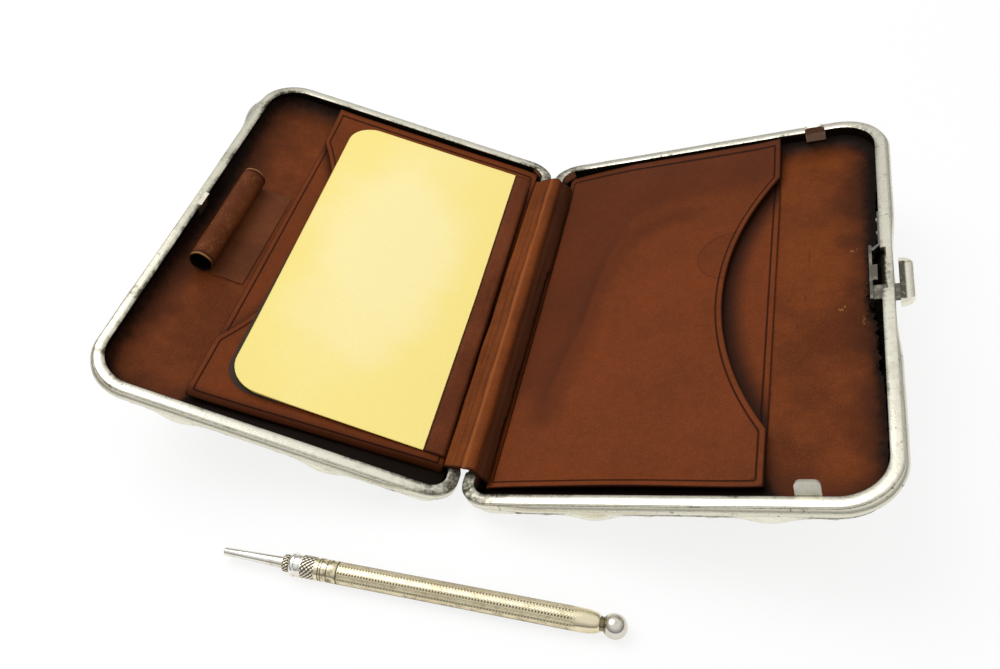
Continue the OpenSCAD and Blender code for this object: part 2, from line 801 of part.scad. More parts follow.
module pencil_nozzle() {
    bore = lead_radius + pencil_fit;
    color("silver") on_pencil() difference() {
        union() {
            turned(0, nozzle_length, nozzle_tip, nozzle_root);
            turned(nozzle_length, spigot_end, spigot_radius, spigot_radius);
        }
        turned(-1, spigot_end + 1, bore, bore);
    }
}

module milled_ring() {
    color("silver") on_pencil() difference() {
        turned(nozzle_length, nozzle_length + ring_length, ring_radius, ring_radius);
        turned(nozzle_length - 1, nozzle_length + ring_length + 1, spigot_radius, spigot_radius);
    }
}

module drive_tube() {
    bore = lead_radius + pencil_fit;
    color("silver") on_pencil() difference() {
        turned(spigot_end, spigot_end + drive_length, drive_radius, drive_radius);
        turned(spigot_end - 1, spigot_end + 2 * drive_front, bore, bore);
        turned(spigot_end + drive_front, spigot_end + drive_length + 1, drive_bore, drive_bore);
    }
}

module lead() {
    color("dimgray") on_pencil()
        turned(lead_setback, lead_setback + lead_length, lead_radius, lead_radius);
}

module lead_carrier() {
    from = lead_setback + lead_length;
    color("silver") on_pencil()
        turned(from, from + carrier_length, drive_bore - pencil_fit, drive_bore - pencil_fit);
}

right_shell();
right_rim();
right_board();
right_lining();
right_pocket_back();
right_pocket_front();
right_knuckles();
hinge_pin();
locating_lugs();
thumb_piece();
catch_bar();
catch_spring();
catch_rivets();
left_shell();
left_rim();
left_board();
left_lining();
left_pocket_back();
left_pocket_front();
left_knuckles();
strike_plate();
pencil_loop();
pad_card();
pad_leaves();
pad_binding();
top_leaf();
spine_leather();
pencil_barrel();
pencil_ferrule();
pencil_finial();
pencil_nozzle();
milled_ring();
drive_tube();
lead();
lead_carrier();
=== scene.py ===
import json
import math

import bmesh
import bpy
import numpy as np
from mathutils import Matrix, Vector, noise


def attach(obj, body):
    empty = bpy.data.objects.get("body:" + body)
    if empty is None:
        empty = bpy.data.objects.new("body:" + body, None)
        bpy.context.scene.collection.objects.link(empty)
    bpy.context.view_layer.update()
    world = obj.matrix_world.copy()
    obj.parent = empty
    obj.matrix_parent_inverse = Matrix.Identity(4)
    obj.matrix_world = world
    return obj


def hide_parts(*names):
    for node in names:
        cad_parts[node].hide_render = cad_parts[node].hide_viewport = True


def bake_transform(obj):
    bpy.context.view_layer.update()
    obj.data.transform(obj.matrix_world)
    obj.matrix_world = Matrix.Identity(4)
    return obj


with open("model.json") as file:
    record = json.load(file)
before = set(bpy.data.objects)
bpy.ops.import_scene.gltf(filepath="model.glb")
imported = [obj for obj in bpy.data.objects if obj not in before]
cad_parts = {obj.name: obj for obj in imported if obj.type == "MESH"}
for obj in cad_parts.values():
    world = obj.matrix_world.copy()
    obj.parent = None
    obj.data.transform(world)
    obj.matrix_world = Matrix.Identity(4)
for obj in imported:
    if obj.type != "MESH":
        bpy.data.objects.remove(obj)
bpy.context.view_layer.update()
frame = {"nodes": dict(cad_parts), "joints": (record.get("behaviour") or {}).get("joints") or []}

# Shells
# Each half of the case is one silver sheet pressed into a tray, with rounded flanks around a flat back.
# Scrolls and leaves are raised in it from behind with punches, and the flank at the hinge is left plain.
MM = 0.001
hinge = next(j for j in frame["joints"] if j["name"] == "lid_hinge")
hinge_height = hinge["pos_m"][2]
tilt = math.radians((180 - hinge["range_deg"][1]) / 2)
rim_drop = 0.05 * MM
hinge_offset = 1.4 * MM
half_u, half_v = 37 * MM, 50 * MM
corner, hinge_corner = 10 * MM, 5 * MM
middle_u, outer_u = hinge_offset + half_u, hinge_offset + 2 * half_u
rim_tall = 2.2 * MM
flank, flank_rings = 4.3 * MM, 14
flat_in = 0.15 * MM + flank
sheet_metal, sheet_step = 0.45 * MM, 0.6 * MM
silver_white, silver_dull = (0.85, 0.82, 0.69, 1), (0.58, 0.54, 0.41, 1)
tarnish_and_shade_brown, tarnish_and_shade_black = (0.075, 0.066, 0.045, 1), (0.016, 0.013, 0.009, 1)


def only(piece):
    """Leave this piece alone selected and active."""
    bpy.ops.object.select_all(action="DESELECT")
    piece.select_set(True)
    bpy.context.view_layer.objects.active = piece
    return piece


def new_piece(name, scale=(1, 1, 1)):
    """Take up the primitive that was just added, with its size and place moved into its mesh."""
    piece = bpy.context.object
    piece.name = piece.data.name = name
    piece.scale = scale
    bpy.ops.object.transform_apply(location=True, rotation=True, scale=True)
    return piece


def grid(name, columns, rows, at=(0, 0, 0), size=(1, 1)):
    """A flat sheet of small squares."""
    bpy.ops.object.select_all(action="DESELECT")
    bpy.ops.mesh.primitive_grid_add(x_subdivisions=columns, y_subdivisions=rows, size=1, location=at)
    return new_piece(name, (*size, 1))


def cut_sheet(name, low, high, level, step, round_hinge, round_free):
    """A flat sheet with rounded corners at its hinge side and at its free side."""
    size = (high[0] - low[0], high[1] - low[1])
    middle = ((low[0] + high[0]) / 2, (low[1] + high[1]) / 2)
    piece = grid(name, round(size[0] / step), round(size[1] / step), (*middle, level), size)
    for v in piece.data.vertices:
        way_x, way_y = 1 if v.co.x > middle[0] else -1, 1 if v.co.y > middle[1] else -1
        r = round_free if way_x > 0 else round_hinge
        centre_x = middle[0] + way_x * (size[0] / 2 - r)
        centre_y = middle[1] + way_y * (size[1] / 2 - r)
        if r > 0:
            s, t = min((v.co.x - centre_x) * way_x / r, 1), min((v.co.y - centre_y) * way_y / r, 1)
            if s > 0 and t > 0:
                v.co.x = centre_x + way_x * r * s * math.sqrt(1 - t * t / 2)
                v.co.y = centre_y + way_y * r * t * math.sqrt(1 - s * s / 2)
    return piece


def edge_of(x, y):
    """How far a point of a half's plan lies inside its outline, and the way out."""
    free = x > middle_u
    r = corner if free else hinge_corner
    past_x = x - (outer_u - r) if free else hinge_offset + r - x
    past_y = abs(y) - (half_v - r)
    way_x, way_y = 1 if free else -1, math.copysign(1, y)
    if past_x > 0 and past_y > 0:
        far = math.hypot(past_x, past_y)
        return r - far, Vector((way_x * past_x / far, way_y * past_y / far, 0))
    if past_x > past_y:
        return r - past_x, Vector((way_x, 0, 0))
    return r - past_y, Vector((0, way_y, 0))


def step_out(piece, out, up):
    """Extrude the chosen loop of a half's outline, outwards by one distance and upwards by another."""
    bpy.ops.mesh.extrude_region_move(TRANSFORM_OT_translate={"value": (0, 0, up)})
    for v in bmesh.from_edit_mesh(piece.data).verts:
        if v.select:
            v.co += edge_of(v.co.x, v.co.y)[1] * out


def choose_boundary():
    """Choose the open edge of the sheet in edit mode."""
    bpy.ops.mesh.select_mode(type="EDGE")
    bpy.ops.mesh.select_all(action="SELECT")
    bpy.ops.mesh.region_to_loop()


def finish_with(piece, kind, **settings):
    """Add one modifier to a piece and apply it."""
    only(piece)
    made = piece.modifiers.new(kind.title(), kind)
    for name, value in settings.items():
        setattr(made, name, value)
    bpy.ops.object.modifier_apply(modifier=made.name)
    return piece


def thicken(piece, thickness, offset=-1):
    return finish_with(piece, "SOLIDIFY", thickness=thickness, offset=offset)


def smooth(piece, degrees):
    only(piece)
    bpy.ops.object.shade_smooth_by_angle(angle=math.radians(degrees))
    return piece


def points_of(piece, what="co"):
    """The places or normals of a mesh's points, in rows of three."""
    read = np.empty(len(piece.data.vertices) * 3)
    piece.data.vertices.foreach_get(what, read)
    return read.reshape(-1, 3)


def in_mm(v):
    return [c / MM for c in v.co]


def mark(piece, **marks):
    """Keep one number of each name for each point of a piece, for its material."""
    for name, values in marks.items():
        rows = piece.data.attributes.get(name) or piece.data.attributes.new(name, "FLOAT", "POINT")
        rows.data.foreach_set("value", np.asarray(values, np.float32))


def into_half(piece, side):
    """Carry a piece drawn flat, hinge axis along y and rim face at z 0, into the catch half (1) or
    the pad half (-1)."""
    piece.data.transform(
        Matrix.Translation((0, 0, hinge_height)) @ Matrix.Rotation(-side * tilt, 4, "Y")
        @ Matrix.Translation((0, 0, -rim_drop)) @ Matrix.Diagonal((side, 1, 1, 1)))
    if side < 0:
        piece.data.flip_normals()
    return piece


def copy_of(piece, name):
    made = bpy.data.objects.new(name, piece.data.copy())
    made.data.name = name
    bpy.context.scene.collection.objects.link(made)
    return made


def dress(piece, *finishes):
    piece.data.materials.clear()
    for finish in finishes:
        piece.data.materials.append(finish.made)
    return piece


def dress_nodes(finish, *names):
    """Give one finish to pieces that stay as the CAD made them."""
    for name in names:
        dress(frame["nodes"][name], finish)


def fit(piece, body, slot, *stands_for):
    """Let a finished piece ride on its body, in place of its CAD nodes."""
    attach(piece, body)
    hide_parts(*stands_for)


def curl(centre, radius, start, sweep, height, width):
    """Punch marks along a scroll that winds in towards its centre: place, height and width, in mm."""
    t = np.linspace(0, 1, 34)
    r = radius * (1 - 0.76 * t)
    return np.stack([centre[0] + r * np.cos(start + sweep * t), centre[1] + r * np.sin(start + sweep * t),
                     height * (0.7 + 0.3 * t), width * (1 - 0.25 * t)], 1)


def leaf_lobe(base, angle, length, height, width):
    """Punch marks along one lobe of a leaf."""
    t = np.linspace(0, 1, 12)
    return np.stack([base[0] + length * t * math.sin(angle), base[1] - length * t * math.cos(angle),
                     height * (1 - 0.3 * t), width * (0.5 + 0.75 * np.sin(math.pi * t))], 1)


def bead(x, y, height, width):
    return np.array([[x, y, height, width]])


def oval(wide, tall, height, width):
    """Punch marks along a quarter of an oval."""
    turns = np.linspace(0, math.pi / 2, 40)
    return [bead(wide * math.cos(t), tall * math.sin(t), height, width) for t in turns]


def raised(where, marks):
    """The height of the chased work at each place, in mm."""
    height = np.zeros(len(where))
    for x, y, h, w in np.concatenate(marks):
        far = (where[:, 0] - x) ** 2 + (where[:, 1] - y) ** 2
        np.maximum(height, h * np.exp(-far / (2 * w * w)), out=height)
    return height


motif_pitch, knob_level, knob_width, knob_heights = 29.5, 2.8, 2.8, (0.7, 1.2, 0.9, 1.0)
fan_root, sprig_root, scroll_aside, scroll_level = 12.4, 11.6, 8.6, 8.4
bead_pitch, bead_level, bead_count = 1.9, 14.9, 58
border = [bead(bead_pitch * k, bead_level, 0.28, 0.46) for k in range(bead_count)]
for k, knob_height in enumerate(knob_heights):
    here = k * motif_pitch
    border += [bead(here, knob_level, knob_height, knob_width), bead(here, fan_root, 0.6, 1.0)]
    for angle in (-75, -50, -25, 0, 25, 50, 75):
        border.append(leaf_lobe((here, fan_root), math.radians(angle), 9.8 - abs(angle) / 17, 0.62, 0.72))
    for way in (-1, 1):
        eye = (here + way * scroll_aside, scroll_level)
        border += [curl(eye, 3.7, math.pi / 2 - way * 0.7, way * 6.2, 0.6, 0.62), bead(*eye, 0.62, 0.7),
                   leaf_lobe((here + way * 7.0, 5.2), way * 1.0, 3.4, 0.45, 0.6)]
    for angle in (-46, 0, 46):
        border.append(leaf_lobe((here + motif_pitch / 2, sprig_root), math.radians(angle), 5.4, 0.5, 0.6))
shield = oval(10.5, 14, 0.42, 0.55) + oval(12, 15.5, 0.22, 0.4)
for angle in (-60, -30, 0, 30, 60):
    turn, shorter = math.radians(angle), abs(angle) / 30
    shield += [leaf_lobe((0, 16.4), math.pi - turn, 7.5 - shorter, 0.5, 0.7),
               leaf_lobe((12.6, 0), math.pi / 2 + turn, 6 - shorter, 0.5, 0.65)]
shield += [curl((14.0, 15.0), 4.0, -2.4, 5.8, 0.5, 0.6), bead(14.0, 15.0, 0.55, 0.7),
           curl((9.2, 23.0), 3.2, 3.6, -5.6, 0.45, 0.55), bead(9.2, 23.0, 0.5, 0.6),
           curl((18.6, 7.6), 3.0, 1.2, 5.6, 0.45, 0.55), bead(18.6, 7.6, 0.5, 0.6)]
plain_to, worked_from, border_fade, bend_cuts = 8, 14, 1.2, 6
hollow_black, raised_clean, plain_black, inside_shade_black = 0.75, 1.5, 0.3, 1.6


def pressed_shell(name):
    tight, wide = hinge_corner - flat_in, corner - flat_in
    low, high = (hinge_offset + flat_in, -half_v + flat_in), (outer_u - flat_in, half_v - flat_in)
    shell = cut_sheet(name, low, high, -rim_tall - flank, sheet_step, tight, wide)
    bpy.ops.object.mode_set(mode="EDIT")
    choose_boundary()
    middle, slack = Vector((hinge_offset + hinge_corner, half_v - hinge_corner)), 0.1 * MM
    for e in bmesh.from_edit_mesh(shell.data).edges:
        bend = all(v.co.x < middle.x + slack and abs(v.co.y) > middle.y - slack for v in e.verts)
        e.select_set(e.select and bend)
    bpy.ops.mesh.subdivide(number_cuts=bend_cuts)
    for v in bmesh.from_edit_mesh(shell.data).verts:
        if v.select:
            out = Vector((v.co.x - middle.x, abs(v.co.y) - middle.y)).normalized() * tight
            v.co.x, v.co.y = middle.x + out.x, math.copysign(middle.y + out.y, v.co.y)
    choose_boundary()
    for k in range(flank_rings):
        before, after = (math.pi / 2 * n / flank_rings for n in (k, k + 1))
        out, up = math.sin(after) - math.sin(before), math.cos(before) - math.cos(after)
        step_out(shell, flank * out, flank * up)
    bpy.ops.mesh.select_all(action="SELECT")
    bpy.ops.mesh.flip_normals()
    bpy.ops.object.mode_set(mode="OBJECT")
    place, normal = points_of(shell), points_of(shell, "normal")
    x, y = place[:, 0], np.abs(place[:, 1])
    past_x, past_y = x - (outer_u - corner), y - (half_v - corner)
    bent = (past_x > 0) & (past_y > 0)
    inset = np.where(bent, corner - np.hypot(past_x, past_y), np.minimum(outer_u - x, half_v - y)) / MM
    straight = half_v - corner
    by_end = (straight + wide * math.pi / 2 - np.minimum(past_x, 0)) / MM
    by_side = np.where(outer_u - x < half_v - y, np.minimum(y, straight) / MM, by_end)
    along = np.where(bent, (straight + wide * np.arctan2(past_y, past_x)) / MM, by_side)
    radius, out = flank / MM, flat_in / MM - inset
    round_flank = math.pi / 2 - np.arcsin(np.clip(out / radius, 0, 1))
    across = np.where(out > 0, radius * round_flank, radius * math.pi / 2 - out)
    worked = np.clip((x / MM - plain_to) / (worked_from - plain_to), 0, 1) ** 2
    on_edge = raised(np.stack([along, across], 1), border) * np.clip(across / border_fade, 0, 1)
    on_back = raised(np.stack([np.abs(x - middle_u), y], 1) / MM, shield)
    height = np.maximum(on_edge, on_back) * worked
    shell.data.vertices.foreach_set("co", (place + normal * height[:, None] * MM).ravel())
    shell.data.update()
    outside = np.where(worked > 0.2, hollow_black - height * raised_clean, plain_black).clip(0, 1)
    thicken(shell, sheet_metal)
    # The inside of the sheet is marked black: painted shade where it shows within the rim.
    inside = np.full(len(shell.data.vertices) - len(outside), inside_shade_black)
    mark(shell, recess=np.concatenate([outside, inside]))
    return smooth(shell, 60)


class Finish:
    """The nodes of a material or of an effect, and the steps by which its finish is mixed."""

    def __init__(self, tree):
        self.tree = tree

    def join(self, value, socket):
        """Join a socket to another, or set it."""
        if isinstance(value, bpy.types.NodeSocket):
            self.tree.links.new(value, socket)
        else:
            socket.default_value = value

    def put(self, kind, settings=None, **wires):
        """Add a node. Settings are its own properties, and each wire sets or joins an input."""
        made = self.tree.nodes.new("ShaderNode" + kind)
        for name, value in (settings or {}).items():
            setattr(made, name, value)
        for name, value in wires.items():
            self.join(value, made.inputs[name.replace("_", " ")])
        return made

    def calc(self, operation, *values):
        """One step of arithmetic on sockets and numbers."""
        made = self.put("Math", {"operation": operation})
        for socket, value in zip(made.inputs, values):
            self.join(value, socket)
        return made.outputs[0]

    def times(self, first, second):
        return self.calc("MULTIPLY", first, second)

    def plus(self, first, second):
        return self.calc("ADD", first, second)

    def less(self, first, second):
        return self.calc("SUBTRACT", first, second)

    def most(self, first, second):
        return self.calc("MAXIMUM", first, second)

    def scaled(self, value, by, then):
        return self.calc("MULTIPLY_ADD", value, by, then)

    def apart(self, value, place):
        """How far a value lies from a place, on either side."""
        return self.calc("ABSOLUTE", self.less(value, place))

    def span(self, value, low, high, at_low=0.0, at_high=1.0):
        """A soft step: one share at the low value, another at the high one."""
        return self.put("MapRange", {"interpolation_type": "SMOOTHSTEP"}, Value=value, From_Min=low,
                        From_Max=high, To_Min=at_low, To_Max=at_high).outputs[0]

    def kept(self, name):
        """A number that was kept for each point of a piece."""
        return self.put("Attribute", {"attribute_name": name}).outputs["Fac"]

    def speckle(self, where, scale, detail, stretch=(1, 1, 1)):
        """Noise whose scale is in marks per millimetre."""
        moved = self.put("Mapping", Vector=where, Scale=[k / MM for k in stretch]).outputs[0]
        return self.put("TexNoise", Vector=moved, Scale=scale, Detail=detail, Roughness=0.6).outputs[0]

    def use(self, group, **wires):
        """Place an effect, with its own values."""
        return self.put("Group", {"node_tree": group.tree}, **wires).outputs

    def lay(self, share, colour):
        """Lay a colour over those laid before, by a share of 0 to 1."""
        made = self.put("Mix", {"data_type": "RGBA"})
        for number, value in ((0, share), (6, self.shade), (7, colour)):
            self.join(value, made.inputs[number])
        self.shade = made.outputs[2]
        self.surface(Base_Color=self.shade)

    def lay_spans(self, *rows):
        """Lay colours by soft steps: rows of value, low, high, share at low, share at high, colour."""
        for *step, colour in rows:
            self.lay(self.span(*step), colour)

    def surface(self, **wires):
        for name, value in wires.items():
            self.join(value, self.shader.inputs[name.replace("_", " ")])

    def bump(self, height, depth):
        """Depth is in mm."""
        self.surface(Normal=self.put("Bump", Height=height, Distance=depth * MM, Strength=1.0).outputs[0])


def effect(name, inputs, outputs):
    """An empty node group with named inputs and outputs: its finish, its inputs and its end."""
    tree = bpy.data.node_groups.new(name, "ShaderNodeTree")
    for title, kind in inputs:
        tree.interface.new_socket(name=title, in_out="INPUT", socket_type="NodeSocket" + kind)
    for title in outputs:
        tree.interface.new_socket(name=title, in_out="OUTPUT", socket_type="NodeSocketFloat")
    return Finish(tree), tree.nodes.new("NodeGroupInput").outputs, tree.nodes.new("NodeGroupOutput").inputs


def material(name, ground):
    """A new material of one plain colour, for the others to be laid over."""
    made = bpy.data.materials.new(name)
    made.use_nodes = True
    finish = Finish(made.node_tree)
    finish.made, finish.shader, finish.shade = made, made.node_tree.nodes["Principled BSDF"], ground
    finish.where = finish.put("TexCoord").outputs["Object"]
    return finish


silver_wear, given, gives = effect(
    "silver_wear", [("Place", "Vector"), ("Recess", "Float"), ("Amount", "Float")],
    ["Tarnish", "Black", "Scratch", "Cloud", "Smudge"])
fine, blotch, wide = (silver_wear.speckle(given["Place"], *size) for size in ((1.3, 6), (0.7, 6), (0.16, 3)))
spots = silver_wear.times(silver_wear.span(fine, 0.58, 0.72), silver_wear.span(wide, 0.45, 0.62))
hollows = silver_wear.span(silver_wear.times(given["Recess"], silver_wear.plus(fine, 0.5)), 0.42, 0.95)
lengthwise = silver_wear.speckle(given["Place"], 1.0, 2, (0.25, 6, 6))
crosswise = silver_wear.speckle(given["Place"], 1.0, 2, (5, 0.3, 5))
# Black comes from the deepest recess marks: tarnish in the hollows, and painted shade on the rims' inner
# walls and the shells' insides.
tarnish_and_shade_depth = silver_wear.plus(given["Recess"], silver_wear.times(fine, 0.5))
blotches, patches = silver_wear.span(blotch, 0.42, 0.72), silver_wear.span(wide, 0.3, 0.6)
for title, value in (
        ("Tarnish", silver_wear.most(silver_wear.times(spots, given["Amount"]), hollows)),
        ("Black", silver_wear.span(tarnish_and_shade_depth, 1.15, 1.45)),
        ("Scratch", silver_wear.plus(lengthwise, crosswise)),
        ("Cloud", wide),
        ("Smudge", silver_wear.times(blotches, patches))):
    silver_wear.join(value, gives[title])


def silver(name, colour, amount, gloss):
    """Old silver: how much of it is spotted, and how rough its bright part is."""
    finish = material(name, colour)
    worn = finish.use(silver_wear, Place=finish.where, Recess=finish.kept("recess"), Amount=amount)
    finish.lay(finish.most(finish.kept("dull"), finish.times(worn["Smudge"], 0.6)), silver_dull)
    finish.lay(worn["Tarnish"], tarnish_and_shade_brown)
    finish.lay(worn["Black"], tarnish_and_shade_black)
    rough = finish.plus(finish.times(worn["Tarnish"], 0.35), finish.scaled(worn["Cloud"], 0.2, gloss))
    finish.surface(Roughness=rough, Metallic=1.0)
    finish.bump(worn["Scratch"], 0.02)
    return finish


case_silver = silver("case_silver", silver_white, 0.8, 0.18)
right_shell = pressed_shell("right_shell_chased")
left_shell = copy_of(right_shell, "left_shell_chased")
boss_out, boss_along, boss_long, boss_level, boss_tall = 3.3, 39.5, 8.5, -3.9, 1.5
for v, dirt in zip(left_shell.data.vertices, left_shell.data.attributes["recess"].data):
    inset, way = edge_of(v.co.x, v.co.y)
    if v.co.x > middle_u and inset < flank:
        _, along, level = in_mm(v)
        by_y, by_z = (along - boss_along) / boss_long, (level - boss_level) / boss_tall
        swell = math.exp(-by_y ** 2 - by_z ** 2)
        v.co += way * boss_out * MM * swell
        dirt.value *= 1 - 0.8 * min(swell * 1.5, 1)
for shell, side, cover in ((right_shell, 1, "right"), (left_shell, -1, "left")):
    into_half(dress(shell, case_silver), side)
    fit(shell, cover + "_cover", "silver", cover + "_shell")

# Rims
# A rolled silver rim is soldered round the mouth of each shell: a flat face, a scored seam and a rounded band
# below. It is filed down over the hinge for the leather, and in the catch half notched and slotted for the
# thumb piece.
rim_profile = [(0.6, -2.4), (0.2, -2.3), (0, -2.0), (0, -1.6), (0, -1.2), (0, -0.85), (0, -0.6),
               (0.15, -0.46), (0.02, -0.34), (0.06, -0.16), (0.2, -0.05), (0.45, 0), (1.2, 0), (1.9, 0),
               (2.1, -0.12), (2.1, -0.5), (2.1, -2.2)]
band_swell, band_top, band_tall = 0.65, 0.45, 2.3
thumb_at, thumb_flat, thumb_clear, hinge_reach = -1.3, 7.5, 19.5, 1.1
seam_level, wear_fine, wear_wide, wear_most = -0.46, 0.03, 0.06, 0.03
corner_cuts, side_cuts, shortest_side = 18, 59, 20
filed_part = ((0, -43, -0.7), (5, 43, 2))
catch_notch, stem_slot = ((72, -3.5, -1.8), (74.3, 7.5, 2)), ((72, -5.5, -1.65), (77, -1.7, -0.65))


def ramp(value, start, end):
    """A share that goes evenly from 0 at one value to 1 at another."""
    return min(max((value - start) / (end - start), 0), 1)


def rumple(place, size):
    """Noise whose lumps are about this many mm across."""
    return noise.noise(place / (size * MM))


def rolled_rim(name):
    inset, level = (k * MM for k in rim_profile[0])
    bpy.ops.object.select_all(action="DESELECT")
    bpy.ops.mesh.primitive_plane_add(size=1, location=(middle_u, 0, level))
    rim = new_piece(name, (2 * (half_u - inset), 2 * (half_v - inset), 1))
    bpy.ops.object.mode_set(mode="EDIT")
    bpy.ops.mesh.select_mode(type="VERT")
    for free, r in ((True, corner), (False, hinge_corner)):
        shape = bmesh.from_edit_mesh(rim.data)
        for v in shape.verts:
            v.select_set((v.co.x > middle_u) == free)
        shape.select_flush_mode()
        bpy.ops.mesh.bevel(offset=r - inset, offset_type="OFFSET", segments=corner_cuts, affect="VERTICES")
    bpy.ops.mesh.select_mode(type="EDGE")
    for e in bmesh.from_edit_mesh(rim.data).edges:
        e.select_set(e.calc_length() > shortest_side * MM)
    bpy.ops.mesh.subdivide(number_cuts=side_cuts)
    bpy.ops.mesh.select_all(action="SELECT")
    bpy.ops.mesh.delete(type="ONLY_FACE")
    bpy.ops.mesh.select_all(action="SELECT")
    for before, after in zip(rim_profile, rim_profile[1:]):
        step_out(rim, (before[0] - after[0]) * MM, (after[1] - before[1]) * MM)
    for e in bmesh.from_edit_mesh(rim.data).edges:
        e.select_set(e.is_boundary)
    bpy.ops.mesh.bridge_edge_loops()
    bpy.ops.mesh.select_all(action="SELECT")
    bpy.ops.mesh.normals_make_consistent(inside=False)
    bpy.ops.object.mode_set(mode="OBJECT")
    for v in rim.data.vertices:
        inset, way = edge_of(v.co.x, v.co.y)
        level = v.co.z / MM
        rub = rumple(v.co, 4) * wear_fine + rumple(v.co, 17) * wear_wide
        if level > -1.9:
            v.co.z += min(rub, wear_most) * MM
        if inset < 0.7 * MM and level < -0.5:
            clear = ramp(v.co.x / MM, 6, 14)
            if v.co.x > 60 * MM:
                past = ramp(abs(v.co.y / MM - thumb_at), thumb_flat, thumb_clear)
                clear *= past * past * (3 - 2 * past)
            bulge = math.sin(math.pi * min((-level - band_top) / band_tall, 1))
            v.co += way * (band_swell * bulge * clear + rub) * MM
        by_hinge = ramp(abs(v.co.y) / MM, 41, 42.5) * ramp(v.co.x / MM, 7, 2)
        v.co.x -= hinge_reach * MM * by_hinge
    return rim


def cut_away(piece, low, high):
    """Cut a box out of a piece."""
    bpy.ops.object.select_all(action="DESELECT")
    bpy.ops.mesh.primitive_cube_add(size=1, location=[(a + b) / 2 * MM for a, b in zip(low, high)])
    cutter = new_piece("cutter", [(b - a) * MM for a, b in zip(low, high)])
    finish_with(piece, "BOOLEAN", operation="DIFFERENCE", object=cutter)
    bpy.data.objects.remove(cutter)


right_rim = rolled_rim("right_rim_rolled")
cut_away(right_rim, *filed_part)
left_rim = copy_of(right_rim, "left_rim_rolled")
for opening in (catch_notch, stem_slot):
    cut_away(right_rim, *opening)
wall_tarnish_and_shade, seam_black, hinge_black, thumb_black = 1.5, 0.95, 0.36, 0.32
edge_black, face_black, inner_black, left_black = 0.44, 0.33, 0.24, 0.12
band_dull, edge_dull, face_dull, left_dull = 0.38, 0.2, 0.05, 0.4
for rim, side, cover in ((right_rim, 1, "right"), (left_rim, -1, "left")):
    dirt, dull = [], []
    for v in rim.data.vertices:
        x, y, level = in_mm(v)
        inset = edge_of(v.co.x, v.co.y)[0] / MM
        # The rim's inner wall is marked black: partly tarnish, partly painted shade under the rim.
        wall = wall_tarnish_and_shade * ramp(-level, 0.1, 0.6) if 2.0 < inset < 2.3 else 0
        seam = seam_black if abs(level - seam_level) < 0.09 and inset < 0.3 else 0
        patch = rumple(v.co, 5) + 0.6 * rumple(v.co, 1.7)
        outer = inset < 0.5 and level > -0.4
        face = edge_black + 0.08 * patch if outer else face_black + 0.16 * patch
        if level > -0.3:
            face += inner_black + 0.1 * patch if inset > 1.7 else 0
            face += hinge_black * ramp(x, 11, 5)
        if side > 0 and x > 72:
            face += thumb_black * math.exp(-(y / 6) ** 2) * (1 if inset > 0.9 else 0.5)
        free_left = ramp(x, 64, 70) if side < 0 else 0
        dirt.append(max(wall, seam, face + (left_black + 0.1 * patch) * free_left))
        worn = band_dull if level < -0.5 and inset < 1 else edge_dull if inset < 0.4 else face_dull
        dull.append(worn + left_dull * free_left)
    mark(rim, recess=dirt, dull=dull)
    smooth(into_half(dress(rim, case_silver), side), 45)
    fit(rim, cover + "_cover", "silver", cover + "_rim")

# Boards
# A stiff card is glued to the flat back inside each shell, to carry the lining, and one more backs the pad.
# It is pressed board, and only its edge could ever be seen; it is coloured near black-brown so that edge
# reads as painted shadow under the pad.
card_brown, card_shadow_dark = (0.050, 0.024, 0.011, 1), (0.018, 0.009, 0.005, 1)
shadow_dark_board = material("shadow_dark_board", card_shadow_dark)
fibres = shadow_dark_board.speckle(shadow_dark_board.where, 2.5, 5, (1, 0.35, 1))
shadow_dark_board.lay(fibres, card_brown)
shadow_dark_board.surface(Roughness=shadow_dark_board.span(fibres, 0.2, 0.8, 0.75, 0.95))
shadow_dark_board.bump(fibres, 0.05)
dress_nodes(shadow_dark_board, "right_board", "left_board", "pad_card")

# Linings
# Thin brown calf is glued over each board and turned up to the rim. Its edges are darkened partly by old
# glue and wear and partly as painted shade along the rim walls, with painted shadow along its near side.
# Along the catch side it is torn and has drawn back from the rim.
lining_in, lining_top, lining_thick = 1.83, -4.0, 0.35
turned_far, turned_free, turned_most, turned_bend = {1: 2.0, -1: 2.6}, {1: 0.4, -1: 2.6}, 2.7, 1.3
lining_sunk, lining_ripple, ripple_size = 0.1, 0.16, 9
torn_along = (-44, -39, -34, -24, -16, -10, -3, 2, 9, 17, 26, 34, 40)
torn_depth = (0.2, 1.0, 0.6, 0.7, 1.5, 1.3, 2.6, 2.2, 1.5, 0.8, 0.8, 0.4, 0.1)
torn_wide, torn_from, torn_full, torn_left, torn_curl = 4, 66, 70, 0.3, 0.3
near_shadow_reach, free_black, far_black = 6.0, 1.4, 0.5
near_corner, near_fade, right_dark, left_dark = (12, -38), (57, 54), (-6, 14), (8, 17)
crease_line = ((60.0, 19.4), (60.3, 11.3), (60.0, 1.9), (59.2, -5.2), (58.1, -9.4))
rubbed_spots = ((70.1, -7.3, 1.5), (66.5, -3.9, 1.0), (68.5, 12.0, 0.9))
beyond_reach = 9.0


def srgb(r, g, b):
    """A colour by its everyday 0 to 255 numbers."""
    shares = (r / 255, g / 255, b / 255)
    return tuple(c / 12.92 if c < 0.04 else ((c + 0.055) / 1.055) ** 2.4 for c in shares) + (1,)


def from_line(places, line):
    """How far each place lies from a bent line, in mm."""
    nearest = np.full(len(places), 99.0)
    for start, end in zip(np.array(line[:-1], float), np.array(line[1:], float)):
        way = end - start
        share = np.clip((places - start) @ way / (way @ way), 0, 1)
        np.minimum(nearest, np.linalg.norm(places - start - share[:, None] * way, axis=1), out=nearest)
    return nearest


